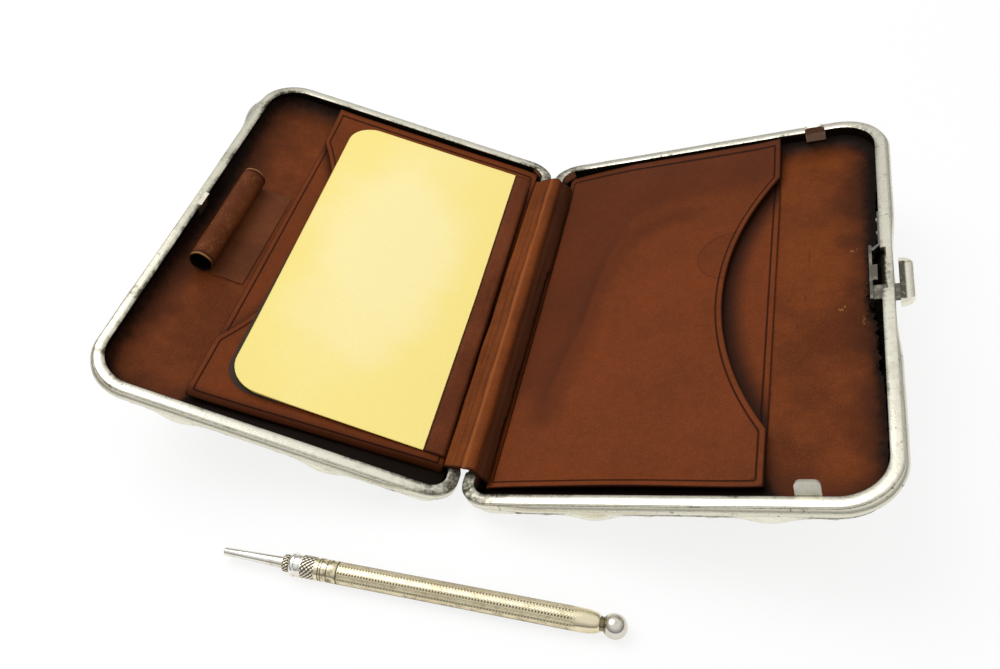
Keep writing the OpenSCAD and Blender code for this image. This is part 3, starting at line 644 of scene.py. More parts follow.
def calf_lining(name, side):
    margin = lining_in * MM
    lining = cut_sheet(name, (hinge_offset + margin, -half_v + margin), (outer_u - margin, half_v - margin),
                       lining_top * MM, sheet_step, hinge_corner - margin, corner - margin)
    places = points_of(lining)[:, :2] / MM
    nowhere, edges = np.full(len(places), beyond_reach), []
    crease, rubbed = nowhere, nowhere.copy()
    if side > 0:
        crease = from_line(places, crease_line)
        for u, v, r in rubbed_spots:
            np.minimum(rubbed, np.hypot(places[:, 0] - u, places[:, 1] - v) / r, out=rubbed)
    for v in lining.data.vertices:
        inset, way = edge_of(v.co.x, v.co.y)
        x, y, inset = v.co.x / MM, v.co.y / MM, inset / MM - lining_in
        to_free, to_far = max(way.x, 0), max(way.y, 0)
        to_near = max(-way.y, 0) if x > near_corner[0] else y < near_corner[1]
        # The near side is darkened as painted shadow under the near rim.
        near_shadow = near_shadow_reach * to_near * ramp(x, *near_fade)
        by_rim = ramp(y, *right_dark) if side > 0 else math.exp(-((y - left_dark[0]) / left_dark[1]) ** 2)
        edges.append(inset - near_shadow - free_black * by_rim * to_free - far_black * to_far)
        turned_up = min(to_far * turned_far[side] + to_free * turned_free[side], turned_most)
        where = Vector((v.co.x, v.co.y, side * 9 * MM))
        ripple = lining_ripple * rumple(where, ripple_size) - lining_sunk
        v.co.z += (ripple + turned_up * math.exp(-inset / turned_bend)) * MM
        if inset < torn_wide and x > torn_from:
            torn = np.interp(y, torn_along, torn_depth) if side > 0 else torn_left
            torn *= 1 + 0.5 * rumple(where, 1.6) + 0.5 * rumple(where, 0.7)
            fade = 1 - inset / torn_wide
            v.co.x -= max(torn, 0) * MM * fade * ramp(x, torn_from, torn_full)
            v.co.z += torn_curl * MM * max(rumple(where, 2.6), 0) * fade
    mark(lining, edge_mm=edges, crease_mm=crease, rubbed=rubbed)
    return smooth(thicken(lining, lining_thick * MM), 60)


hide_grain, given, gives = effect("hide_grain", [("Place", "Vector")], ["Mottle", "Grain", "Rub", "Cloud"])
pore_place = hide_grain.put("Mapping", Vector=given["Place"], Scale=(3600, 3600, 3600)).outputs[0]
pores = hide_grain.put("TexVoronoi", {"feature": "SMOOTH_F1"}, Scale=1.0, Vector=pore_place).outputs
fine, soft, cloudy = (hide_grain.speckle(given["Place"], *size) for size in ((5.0, 4), (0.6, 5), (0.06, 3)))
for title, value in (
        ("Mottle", hide_grain.scaled(soft, 0.5, hide_grain.times(fine, 0.5))),
        ("Grain", hide_grain.scaled(pores["Distance"], 0.6, hide_grain.times(fine, 0.5))),
        ("Rub", hide_grain.times(hide_grain.span(fine, 0.56, 0.7), hide_grain.span(soft, 0.5, 0.66))),
        ("Cloud", cloudy)):
    hide_grain.join(value, gives[title])


def calf(name, light, dark):
    """Brown calf with its grain, for its wear to be laid over."""
    finish = material(name, dark)
    finish.hide = finish.use(hide_grain, Place=finish.where)
    cloud, mottle, grain = (finish.hide[title] for title in ("Cloud", "Mottle", "Grain"))
    finish.lay_spans((cloud, 0.32, 0.66, 0.0, 1.0, light),
                     (mottle, 0.3, 0.62, 0.3, 0.0, srgb(64, 29, 10)),
                     (grain, 0.42, 0.72, 0.0, 0.05, srgb(190, 122, 74)),
                     (grain, 0.25, 0.45, 0.14, 0.0, srgb(50, 22, 8)))
    finish.surface(Roughness=finish.span(cloud, 0.3, 0.7, 0.55, 0.45), Specular_IOR_Level=0.06)
    return finish


lining_calf = calf("lining_calf", srgb(114, 55, 20), srgb(90, 42, 16))
hide, edge = lining_calf.hide, lining_calf.kept("edge_mm")
lining_calf.lay(lining_calf.times(hide["Rub"], 0.3), srgb(150, 96, 56))
# The crease is darkened as painted shade in its fold, and dented by the bump below.
crease = lining_calf.span(lining_calf.kept("crease_mm"), 0.05, 0.24, 0.5, 0.0)
lining_calf.lay(crease, srgb(52, 24, 10))
fibres = lining_calf.span(lining_calf.speckle(lining_calf.where, 2.2, 3, (1, 0.4, 1)), 0.5, 0.6)
scuffed = lining_calf.times(lining_calf.span(lining_calf.kept("rubbed"), 0.4, 1.1, 1.0, 0.0), fibres)
lining_calf.lay(scuffed, srgb(178, 120, 60))
# Towards the rim the calf darkens, and is black at its very edge: partly glue and wear, partly painted shade
# along the walls.
edge_stain_and_shade = lining_calf.scaled(lining_calf.less(hide["Cloud"], 0.5), 9.0, edge)
edge_grime_and_shade = lining_calf.scaled(lining_calf.less(hide["Mottle"], 0.5), 5.0, edge)
lining_calf.lay_spans((edge_stain_and_shade, 0.0, 8.5, 0.75, 0.0, srgb(56, 28, 14)),
                      (edge_grime_and_shade, -0.4, 3.0, 1.0, 0.0, srgb(20, 11, 6)))
lining_calf.bump(lining_calf.less(hide["Grain"], crease), 0.05)
for side, cover in ((1, "right"), (-1, "left")):
    lining = calf_lining(cover + "_lining_calf", side)
    into_half(dress(lining, lining_calf), side)
    fit(lining, cover + "_cover", "lining_leather", cover + "_lining")

# Card pockets
# Two panels of brown calf are joined at three edges, and the front one is scooped so that a card can be
# gripped. A hot iron has drawn a dark line inside every edge. The panels have lifted at their ends, and
# keep the print of cards.
pocket_start, pocket_near, pocket_far = 3.9, -44.7, 45.9
pocket_open = {1: 54.2, -1: 56.2}
scoop_radius, scoop_middle, scoop_depth = {1: 65, -1: 59.6}, {1: 1.4, -1: 2.7}, 9.8
panel_rows, panel_columns, panel_thick, panel_edge = 132, 74, 0.45, 0.1
panel_ripple, panel_sunk = 0.14, 0.1
seam_sunk, seam_reach, lip_lift, lip_reach = 0.34, 1.3, {1: 0.55, -1: 0.3}, 3.5
right_far_lift, right_far_more, right_near_lift, right_reach = 0.6, 1.5, 0.9, 5
left_far_lift, left_far_reach, fold_least, fold_more = 1.5, 4.5, 0.5, 0.8
fold_reach, roll_under, roll_reach = 6, 1.9, 0.8
back_slack, left_slack, slack_reach, left_lean = 0.9, 2.2, 8, 0.012
front_pull, back_pull, pull_reach = 1.5, 1.1, 3
card_print = ((36.0, 28.7), (30.1, 27.6), (22.4, 22.9), (19.0, 14.6), (16.9, 4.4), (16.0, -7.2),
              (13.7, -18.0), (11.5, -28.1))
round_print = (45.5, 12.6, 7.0)
nowhere, iron_in = 99.0, 1.2


def pocket_panel(name, side, top, scooped):
    edge, radius, middle = pocket_open[side], scoop_radius[side], scoop_middle[side]
    centre = edge - scoop_depth + radius
    right, left = side > 0, side < 0
    panel = grid(name, panel_columns, panel_rows, (0.5, 0, top * MM))
    tip = math.sqrt(radius ** 2 - (radius - scoop_depth) ** 2)
    lines = np.linspace(pocket_near, pocket_far, panel_rows + 1)
    for corner_v in (middle - tip, middle + tip):
        lines[np.abs(lines - corner_v).argmin()] = corner_v
    edges, bare, places, rolled, beyond = [], [], [], [], []
    print_u, print_v = zip(*reversed(card_print))
    for v in panel.data.vertices:
        along = lines[round((v.co.y + 0.5) * panel_rows)]
        inside = scooped and abs(along - middle) < tip
        reach = centre - math.sqrt(radius ** 2 - (along - middle) ** 2) if inside else edge
        across = pocket_start + v.co.x * (reach - pocket_start)
        bared = radius - math.hypot(across - centre, along - middle)
        open_edge = min(edge - across, -bared) if scooped else edge - across
        near, far = along - pocket_near, pocket_far - along
        edges.append(max(min(open_edge, across - pocket_start, near, far), 0))
        bare.append(9 if scooped else bared + left_slack * left)
        places.append((across, along))
        rolled.append(near if scooped and left else nowhere)
        beyond.append(along - np.interp(across, print_u, print_v) if scooped and right else -nowhere)
        sag = panel_ripple * noise.noise(Vector((across / 17, along / 21, top))) - panel_sunk
        free = (across - pocket_start) / (edge - pocket_start)
        slack = left_slack * (1 - free) if left else 0
        if scooped:
            sag -= seam_sunk * math.exp(-(across - pocket_start) / seam_reach)
            sag += lip_lift[side] * math.exp(-max(open_edge, 0) / lip_reach)
            if right:
                sag += (right_far_lift + right_far_more * min(free * 3, 1)) * math.exp(-far / right_reach)
                sag += right_near_lift * math.sin(math.pi * free) * math.exp(-near / right_reach)
            else:
                fold = math.exp(-near / fold_reach) - roll_under * math.exp(-near / roll_reach)
                sag += left_far_lift * math.exp(-far / left_far_reach)
                sag += (fold_least + fold_more * (1 - free)) * fold
        else:
            slack += back_slack
        along += slack * math.exp(-near / slack_reach)
        lean = left_lean * along if left else 0
        pulled = (front_pull if scooped else back_pull) * math.exp(-far / pull_reach)
        v.co = Vector((across + lean * v.co.x, along + pulled, top + sag)) * MM
    places, printed, ring = np.array(places), np.full(len(edges), nowhere), np.full(len(edges), nowhere)
    if scooped and right:
        printed = from_line(places, card_print)
        ring = np.hypot(places[:, 0] - round_print[0], places[:, 1] - round_print[1]) - round_print[2]
    mark(panel, edge_mm=edges, bared_mm=bare, rolled_mm=rolled, beyond_mm=beyond, print_mm=printed,
         ring_mm=ring)
    thicken(panel, panel_thick * MM)
    finish_with(panel, "BEVEL", width=panel_edge * MM, segments=2, limit_method="ANGLE",
                angle_limit=math.radians(60))
    return smooth(panel, 50)


pocket_calf = calf("pocket_calf", srgb(113, 53, 21), srgb(103, 49, 20))
edge, ring, bared = (pocket_calf.kept(name) for name in ("edge_mm", "ring_mm", "bared_mm"))
# Over the front panels: the print of cards, darker calf beyond it, painted shade on the left pocket's rolled
# near edge, and the round print.
pocket_calf.lay_spans((pocket_calf.kept("print_mm"), 0.0, 5.5, 0.42, 0.0, srgb(66, 30, 14)),
                      (pocket_calf.kept("beyond_mm"), 0.0, 9.0, 0.0, 0.48, srgb(60, 28, 15)),
                      (pocket_calf.kept("rolled_mm"), 0.4, 3.0, 0.6, 0.0, srgb(34, 15, 7)),
                      (ring, -0.3, 0.1, 0.2, 0.0, srgb(70, 33, 15)),
                      (pocket_calf.apart(ring, 0.0), 0.05, 0.35, 0.35, 0.0, srgb(52, 24, 11)))
ironed = pocket_calf.span(pocket_calf.apart(edge, iron_in), 0.08, 0.24, 1.0, 0.0)
pocket_calf.lay(pocket_calf.times(ironed, 0.85), srgb(26, 10, 4))
# The back panel is darkened just inside the scoop's edge: painted shadow of the lifted front panel.
pocket_calf.lay_spans((bared, 0.6, 5.2, 0.88, 0.0, srgb(26, 11, 5)),
                      (edge, 0.05, 0.32, 0.75, 0.0, srgb(44, 20, 10)))
grain = pocket_calf.times(pocket_calf.hide["Grain"], 0.5)
pocket_calf.bump(pocket_calf.less(grain, pocket_calf.times(ironed, 1.2)), 0.1)
for side, cover in ((1, "right"), (-1, "left")):
    for layer, top, scooped in (("back", -3.5, False), ("front", -2.6, True)):
        panel = pocket_panel(cover + "_pocket_" + layer + "_calf", side, top, scooped)
        into_half(dress(panel, pocket_calf), side)
        fit(panel, cover + "_cover", "pocket_leather", cover + "_pocket_" + layer)

# Hinge
# Five drawn silver knuckles are soldered to the two rims by turns, and a wire pin with riveted heads runs
# through them. The leather hides all of it but its ends.
dress_nodes(silver("hinge_silver", silver_white, 1.0, 0.24), "right_knuckles", "left_knuckles", "hinge_pin")

# Hinge leather
# One strip of the same calf is glued into the filed part of both rims and stands up in a ridge over the
# knuckles. It has creased lengthwise where it bends, its catch side is torn back, and its ends are frayed.
strip_half, strip_thick = 42.8, 0.45
torn_share, torn_past, torn_fade, strip_swell, fold_sunk = 0.05, 14, 1.5, 0.05, 0.08
fray_deep, fray_from, slant_from = 0.15, 0.96, 0.8
shadow_from, shadow_to, ridge_highlight_at, crease_shade_depth = 3, 6, 8, {9: 0.45, 11: 0.35}


def tilted(points, side):
    """Points of one half, seen along the hinge axis from the near end."""
    drop = rim_drop / MM
    return [(side * (u * math.cos(tilt) - (w - drop) * math.sin(tilt)),
             u * math.sin(tilt) + (w - drop) * math.cos(tilt)) for u, w in points]


def run_along(line):
    """How far along a bent line each of its points lies."""
    return np.concatenate([[0], np.cumsum(np.hypot(*np.diff(np.array(line), axis=0).T))])


def on_line(line, run, at):
    """The place that lies so far along a bent line."""
    return [np.interp(at, run, [p[k] for p in line]) for k in (0, 1)]


profile = tilted(((4.8, -2.1), (4.3, -1.2), (3.75, -0.3), (3.2, 0.2)), 1)
profile += [(2.6, 1.45), (2.2, 2.0), (1.6, 2.28), (1.0, 2.26), (0.5, 2.02), (-0.1, 1.98), (-0.8, 1.75),
            (-1.5, 1.45), (-2.2, 1.2)]
profile += tilted(((2.7, 0.14), (3.1, 0.05), (3.4, -0.1), (3.5, -0.6)), -1)
run = run_along(profile)
spine = grid("hinge_leather_strip", 64, 140)
strip_edges, strip_across = [], []
for v in spine.data.vertices:
    share, end = 0.5 - v.co.x, v.co.y * 2
    along = end * strip_half
    torn = torn_share * ramp(along, torn_past, torn_past - torn_fade)
    torn *= 1 + 0.3 * noise.noise(Vector((along / 1.7, 3, 1)))
    at = (torn + share * (1 - torn)) * run[-1]
    x, z = on_line(profile, run, at)
    strip_edges.append(min(share * run[-1], (1 - share) * run[-1], strip_half - abs(along)))
    strip_across.append(at)
    fold = max(noise.noise(Vector((at * 1.1, along / 22, 2))), 0) ** 2
    lift = 1 + strip_swell * noise.noise(Vector((at / 2, along / 9, 5))) - fold_sunk * fold
    fray = max(noise.noise(Vector((at * 1.3, 7, math.copysign(3, along)))), 0)
    fray *= fray_deep * ramp(abs(end), fray_from, 1)
    slant = (0.5 + 1.4 * (0.8 - share)) * ramp(-end, slant_from, 1)
    along -= slant + math.copysign(fray, along)
    v.co = Vector((x * lift, along, z * lift)) * MM + Vector((0, 0, hinge_height))
spine.data.flip_normals()
mark(spine, edge_mm=strip_edges, across_mm=strip_across)
smooth(thicken(spine, strip_thick * MM), 60)


def strip_calf(name, light, dark):
    """Calf of the narrow strips, creased along their length."""
    finish = calf(name, light, dark)
    creased = finish.span(finish.speckle(finish.where, 1.0, 4, (1.0, 0.05, 1.0)), 0.47, 0.62)
    finish.lay(finish.times(creased, 0.09), srgb(66, 29, 11))
    finish.lay_spans((finish.kept("edge_mm"), 0.05, 0.5, 0.75, 0.0, srgb(30, 14, 7)))
    finish.bump(finish.less(finish.times(finish.hide["Grain"], 0.4), finish.times(creased, 0.3)), 0.1)
    return finish


spine_calf = strip_calf("spine_calf", srgb(118, 58, 22), srgb(98, 47, 17))
run, across = run.tolist(), spine_calf.kept("across_mm")
# A painted highlight runs along the ridge, and painted shadow down its steep side.
spine_calf.lay_spans((spine_calf.apart(across, run[ridge_highlight_at]), 0.0, 0.8, 0.6, 0.0, srgb(160, 90, 44)),
                     (across, run[shadow_from], run[shadow_to], 0.8, 0.0, srgb(40, 18, 8)))
wander = spine_calf.scaled(spine_calf.speckle(spine_calf.where, 0.06, 3, (0.2, 1, 0.2)), 1.6, -0.8)
bent = spine_calf.plus(across, wander)
# Two wandering crease lines are darkened as painted shade in their folds.
for station, depth in crease_shade_depth.items():
    spine_calf.lay_spans((spine_calf.apart(bent, run[station]), 0.04, 0.3, depth, 0.0, srgb(46, 20, 8)))
dress(spine, spine_calf)
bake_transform(spine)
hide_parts("spine_leather")

# Catch
# The thumb piece is a fluted silver plate on a stem through the rim, with a bar and a tooth inside. A steel
# leaf, riveted to the rim, holds it out, and two lugs and a strike plate bring the other rim to its place.
lug_grey, bar_black = (0.70, 0.68, 0.60, 1), (0.13, 0.12, 0.10, 1)
steel_grey, steel_blue = (0.30, 0.29, 0.27, 1), (0.08, 0.075, 0.07, 1)
thumb_middle, thumb_dark_to, thumb_dark_half = -1.1, 77.2, 4.9
dress_nodes(silver("plate_silver", silver_white, 0.7, 0.2), "strike_plate")
dress_nodes(silver("lug_silver", lug_grey, 0.6, 0.4), "locating_lugs")
dress_nodes(silver("catch_silver", bar_black, 1.0, 0.32), "catch_bar", "catch_rivets")
thumb_silver = silver("thumb_silver", silver_white, 0.7, 0.2)
x, y, z = thumb_silver.put("SeparateXYZ", Vector=thumb_silver.where).outputs
rise = thumb_silver.times(thumb_silver.less(z, hinge_height), math.sin(tilt) / MM)
reach = thumb_silver.scaled(x, math.cos(tilt) / MM, rise)
sideways = thumb_silver.apart(thumb_silver.times(y, 1 / MM), thumb_middle)
# The plate's side by the rim is darkened, in patches, as painted shade between plate and rim.
inner_side_shade = thumb_silver.times(
    thumb_silver.span(reach, thumb_dark_to - 0.15, thumb_dark_to + 0.25, 0.95, 0.0),
    thumb_silver.span(sideways, thumb_dark_half - 0.5, thumb_dark_half + 0.3, 1.0, 0.0))
patchy = thumb_silver.span(thumb_silver.speckle(thumb_silver.where, 2.0, 4), 0.3, 0.45, 0.6, 1.0)
thumb_silver.lay(thumb_silver.times(inner_side_shade, patchy), tarnish_and_shade_brown)
dress_nodes(thumb_silver, "thumb_piece")
spring_steel = material("spring_steel", steel_blue)
drawn = spring_steel.speckle(spring_steel.where, 1.0, 4, (0.4, 8, 8))
spring_steel.lay(drawn, steel_grey)
spring_steel.surface(Roughness=spring_steel.span(drawn, 0.2, 0.8, 0.28, 0.45), Metallic=1.0)
spring_steel.bump(drawn, 0.02)
leaf_spring = only(copy_of(frame["nodes"]["catch_spring"], "catch_spring_leaf"))
bpy.ops.object.mode_set(mode="EDIT")
bpy.ops.mesh.select_all(action="SELECT")
bpy.ops.mesh.remove_doubles(threshold=0.001 * MM)
bpy.ops.object.mode_set(mode="OBJECT")
dress(leaf_spring, spring_steel)
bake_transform(leaf_spring)
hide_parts("catch_spring")

# Pencil loop
# A strip of calf is glued flat to the lining beside the pocket and rolled into a tube for the pencil.
# Its ends are cut square and its top is rubbed pale.
loop_u, loop_v, loop_w = 66.5, 0.5, -1.2
loop_mid, loop_half, loop_thick, tube_from = 2.5, 14.4, 0.42, 8.5
flange_reach, flange_end, flange_level, lip_in = 9.4, 2.2, -2.88, 0.75
loop_swell, loop_ragged = 0.035, 0.12
section = [(x, flange_level) for x in np.linspace(-flange_reach, -flange_end, 14)]
section += [(-1.4, -2.8), (-0.7, -2.6)]
for angle in range(0, 343, 9):
    section.append((loop_mid * math.sin(math.radians(angle)), -loop_mid * math.cos(math.radians(angle))))
run = run_along(section)
loop = grid("pencil_loop_calf", 76, 56)
loop_edges, loop_rise, loop_tube = [], [], []
for v in loop.data.vertices:
    at, along = (v.co.x + 0.5) * run[-1], v.co.y * 2 * loop_half
    x, z = on_line(section, run, at)
    round_part = 1.0 if at > tube_from else 0.0
    loop_edges.append(min(loop_half - abs(along), 9))
    loop_rise.append(z + loop_mid)
    loop_tube.append(round_part)
    swell = 1 + round_part * loop_swell * noise.noise(Vector((x / 2, along / 6, z / 2)))
    along += loop_ragged * noise.noise(Vector((at / 2, along, 1)))
    v.co = Vector((loop_u + x * swell, loop_v + along, loop_w + z * swell)) * MM
mark(loop, edge_mm=loop_edges, rise_mm=loop_rise)
loop.data.flip_normals()
thicken(loop, loop_thick * MM, 0)
hidden_side = len(loop.data.vertices) - len(loop_tube)
# The inside of the tube is marked to be darkened as painted shade.
mark(loop, inside=np.concatenate([np.zeros(len(loop_tube)), loop_tube[:hidden_side]]))
smooth(loop, 60)
loop_calf = calf("loop_calf", srgb(116, 62, 32), srgb(86, 42, 19))
edge, rise = loop_calf.kept("edge_mm"), loop_calf.kept("rise_mm")
loop_calf.lay_spans((rise, 0.0, 0.9, 0.3, 0.0, srgb(96, 58, 38)))
# The lower sides of the tube are darkened as painted shade.
sides = loop_calf.times(loop_calf.span(rise, 1.0, 4.2, 0.5, 0.0), loop_calf.span(rise, 0.1, 0.9))
worn = loop_calf.times(loop_calf.hide["Rub"], loop_calf.span(rise, 2.8, 4.4))
lip = loop_calf.span(loop_calf.apart(edge, lip_in), 0.12, 0.4, 0.75, 0.0)
golden = loop_calf.times(loop_calf.span(edge, 0.1, 0.34, 0.5, 0.0), loop_calf.span(rise, 3.2, 4.6))
for share, colour in ((sides, srgb(58, 27, 13)), (worn, srgb(196, 152, 92)),
                      (loop_calf.times(lip, loop_calf.span(rise, 0.4, 1.2)), srgb(36, 18, 9)),
                      (golden, srgb(198, 150, 90)), (loop_calf.kept("inside"), srgb(14, 8, 5))):
    loop_calf.lay(share, colour)
loop_calf.bump(loop_calf.hide["Grain"], 0.07)
into_half(dress(loop, loop_calf), -1)
fit(loop, "left_cover", "pocket_leather", "pencil_loop")

# Note pad
# Cut sheets of pale yellow paper with rounded free corners are stacked on a backing card and bound at the
# hinge side by a glued strip of calf. The top sheet turns on a fold beside that strip.
pad_start, pad_edge, pad_half, pad_middle, pad_corner, pad_lean = 4.7, 50.4, 42.35, 2.0, 6.5, 0.022
pad_near, pad_far = pad_middle - pad_half, pad_middle + pad_half
card_top, leaf_fold_u, leaf_level, leaf_thick, leaf_lift = -2.3, 8.85, -1.45, 0.12, 1.1
stack_slips, stack_in, stack_short = (0.15, -0.1, 0.2, 0.0, 0.12), 1.2, 0.55
sheet_pitch, sheet_thick, paper_step = 0.115, 0.1, 1.3
strip_start, strip_end, strip_lean, strip_level, binding_thick = 4.2, 8.6, 0.012, -1.45, 0.25
strip_wide = strip_end - strip_start
edge_curl, curl_reach, corner_reach, paper_ripple, ripple_size = 0.1, 5, 9, 0.05, 16
pale_at, pale_reach, pale_ragged, pale_size = (32, 6), (15, 34), 0.35, 14
leaf_root, root_fade, strip_crown, strip_ripple = 0.15, 6, 0.22, 0.04
root_pressed, root_reach, edge_pressed, edge_reach = 1.15, 0.7, 0.1, 0.5
paper_yellow, paper_pale, paper_edge = srgb(249, 230, 140), srgb(251, 237, 172), srgb(222, 196, 112)


def paper_sheet(name, start, level, thick, slip, lift, short):
    """One sheet, by where it starts, how far it has slipped, how its corner lifts and how short it is cut."""
    low, high = (start, pad_near + short), (pad_edge - short, pad_far - short)
    sheet = cut_sheet(name, [k * MM for k in low], [k * MM for k in high], level * MM, paper_step * MM, 0,
                      pad_corner * MM)
    edges = []
    for v in sheet.data.vertices:
        across, along, _ = in_mm(v)
        free, near = pad_edge - across, along - pad_near
        edges.append(min(free, near, pad_far - along))
        curled = edge_curl * math.exp(-free / curl_reach) + lift * math.exp(-(free + near) / corner_reach)
        ripple = paper_ripple * rumple(Vector((v.co.x, v.co.y, slip * MM)), ripple_size)
        v.co.x += pad_lean * (along - pad_middle) * (across - start) / (pad_edge - start) * MM
        v.co.y += slip * MM
        v.co.z += (ripple + curled) * MM
    places = points_of(sheet) / MM
    pale = np.hypot(*((places[:, :2] - pale_at) / pale_reach).T)
    ragged = [pale_ragged * noise.noise(Vector(p) / pale_size) for p in places]
    mark(sheet, pale=pale + ragged, edge_mm=edges)
    return smooth(thicken(sheet, thick * MM), 60)


note_paper = material("note_paper", paper_pale)
clouds = note_paper.less(note_paper.speckle(note_paper.where, 0.12, 3), 0.5)
clouds = note_paper.scaled(clouds, 0.5, note_paper.kept("pale"))
pulp = note_paper.speckle(note_paper.where, 3.0, 4)
note_paper.lay_spans((clouds, 0.45, 1.5, 0.0, 1.0, paper_yellow),
                     (pulp, 0.35, 0.6, 0.12, 0.0, paper_edge),
                     (note_paper.kept("edge_mm"), 0.0, 0.3, 0.6, 0.0, paper_edge))
note_paper.surface(Roughness=note_paper.span(pulp, 0.2, 0.8, 0.7, 0.85), Specular_IOR_Level=0.2)
note_paper.bump(pulp, 0.015)
stack = []
for k, slip in enumerate(stack_slips):
    level = card_top + sheet_pitch * (k + 1)
    stack.append(paper_sheet("pad_sheet_%d" % k, pad_start + stack_in, level, sheet_thick, slip, 0.1 * k,
                             stack_short))
leaves = only(stack[0])
for sheet in stack:
    sheet.select_set(True)
bpy.ops.object.join()
leaves.name = leaves.data.name = "pad_leaves_stack"
into_half(dress(leaves, note_paper), -1)
fit(leaves, "left_cover", "paper", "pad_leaves")
top_leaf = paper_sheet("top_leaf_sheet", leaf_fold_u - leaf_root, leaf_level + leaf_thick / 2, leaf_thick,
                       0.0, leaf_lift, 0)
for v in top_leaf.data.vertices:
    across, along, _ = in_mm(v)
    v.co.x += max(strip_lean * (along - pad_middle), 0) * max(1 - (across - leaf_fold_u) / root_fade, 0) * MM
into_half(dress(top_leaf, note_paper), -1)
fit(top_leaf, "leaf", "paper", "top_leaf")
binding = cut_sheet("pad_binding_strip", (strip_start * MM, pad_near * MM), (strip_end * MM, pad_far * MM),
                    strip_level * MM, 0.4 * MM, 0, 0)
strip_edges = []
for v in binding.data.vertices:
    across, along = v.co.x / MM - strip_start, v.co.y / MM
    strip_edges.append(min(across, strip_wide - across, pad_half - abs(along - pad_middle)))
    v.co.x += strip_lean * (along - pad_middle) * (1 if along > pad_middle else 1 - across / strip_wide) * MM
    pressed = root_pressed * max(1 - across / root_reach, 0) ** 1.5
    pressed += edge_pressed * max(1 - (strip_wide - across) / edge_reach, 0)
    crown = strip_crown * math.sin(math.pi * across / strip_wide)
    v.co.z += (crown - pressed + strip_ripple * rumple(v.co, 5)) * MM
mark(binding, edge_mm=strip_edges)
thicken(binding, binding_thick * MM)
smooth(into_half(dress(binding, strip_calf("binding_calf", srgb(110, 56, 30), srgb(90, 44, 22))), -1), 60)
fit(binding, "left_cover", "pocket_leather", "pad_binding")

# Twist pencil
# A slim silver pencil: drawn tubes turned on a lathe, the barrel ten-sided with engine-turned edges, a
# hatched band, a milled ring that turns the nozzle and feeds the lead, and a ball soldered on the neck.
# Its underside is laid a darker gold as painted shade, and its stains are darker there too.
pencil_tip, pencil_level, pencil_turn = (-40.1, -67.05), 2.15, math.radians(0.8)
onto_table = (Matrix.Translation((pencil_tip[0] * MM, pencil_tip[1] * MM, pencil_level * MM))
              @ Matrix.Rotation(pencil_turn, 4, "Z") @ Matrix.Rotation(math.pi / 2, 4, "Y"))
barrel_sides, barrel_turn, barrel_end, barrel_flat, scallop = 10, math.radians(26), 67, 0.75, 0.55
hatch_lines, hatch_slant, hatch_cross, hatch_depth, hatch_sides = 16, 7.5, 0.55, 0.08, 160
scribed_at, neck_end, hatch_start, hatch_end = (19.3, 19.75, 20.9, 22.75), 70.75, 15.9, 18.4
pencil_bright, pencil_gold, pencil_dark = (0.87, 0.79, 0.56, 1), (0.56, 0.44, 0.24, 1), (0.06, 0.048, 0.03, 1)
graphite_black, graphite_grey = (0.02, 0.02, 0.022, 1), (0.07, 0.07, 0.075, 1)


def turned(name, stations, sides=64):
    """A piece turned on the lathe: stations of distance from the tip and radius, in mm."""
    bpy.ops.object.select_all(action="DESELECT")
    bpy.ops.mesh.primitive_circle_add(vertices=sides, radius=stations[0][1] * MM, fill_type="NGON",
                                      location=(0, 0, stations[0][0] * MM))
    piece = new_piece(name)
    bpy.ops.object.mode_set(mode="EDIT")
    bpy.ops.mesh.select_all(action="SELECT")
    for before, after in zip(stations, stations[1:]):
        up, grow = (after[0] - before[0]) * MM, after[1] / before[1]
        bpy.ops.mesh.extrude_region_move(TRANSFORM_OT_translate={"value": (0, 0, up)})
        bpy.ops.transform.resize(value=(grow, grow, 1), center_override=(0, 0, after[0] * MM))
    bpy.ops.mesh.select_all(action="SELECT")
    bpy.ops.mesh.normals_make_consistent(inside=False)
    bpy.ops.object.mode_set(mode="OBJECT")
    return piece


def hatched(piece, start, end):
    """Cut crossing slanting grooves into a turned piece between two stations."""
    for v in piece.data.vertices:
        along, turn, r = v.co.z / MM, math.atan2(v.co.y, v.co.x), math.hypot(v.co.x, v.co.y) / MM
        if start <= along <= end:
            slant, cross = (math.sin(hatch_lines * turn + way * hatch_slant * along) for way in (1, -1))
            cuts = (slant + hatch_cross * cross) / (1 + hatch_cross)
            shrink = 1 - hatch_depth / r * (1 - cuts) / 2
            v.co.x, v.co.y = v.co.x * shrink, v.co.y * shrink
    return piece


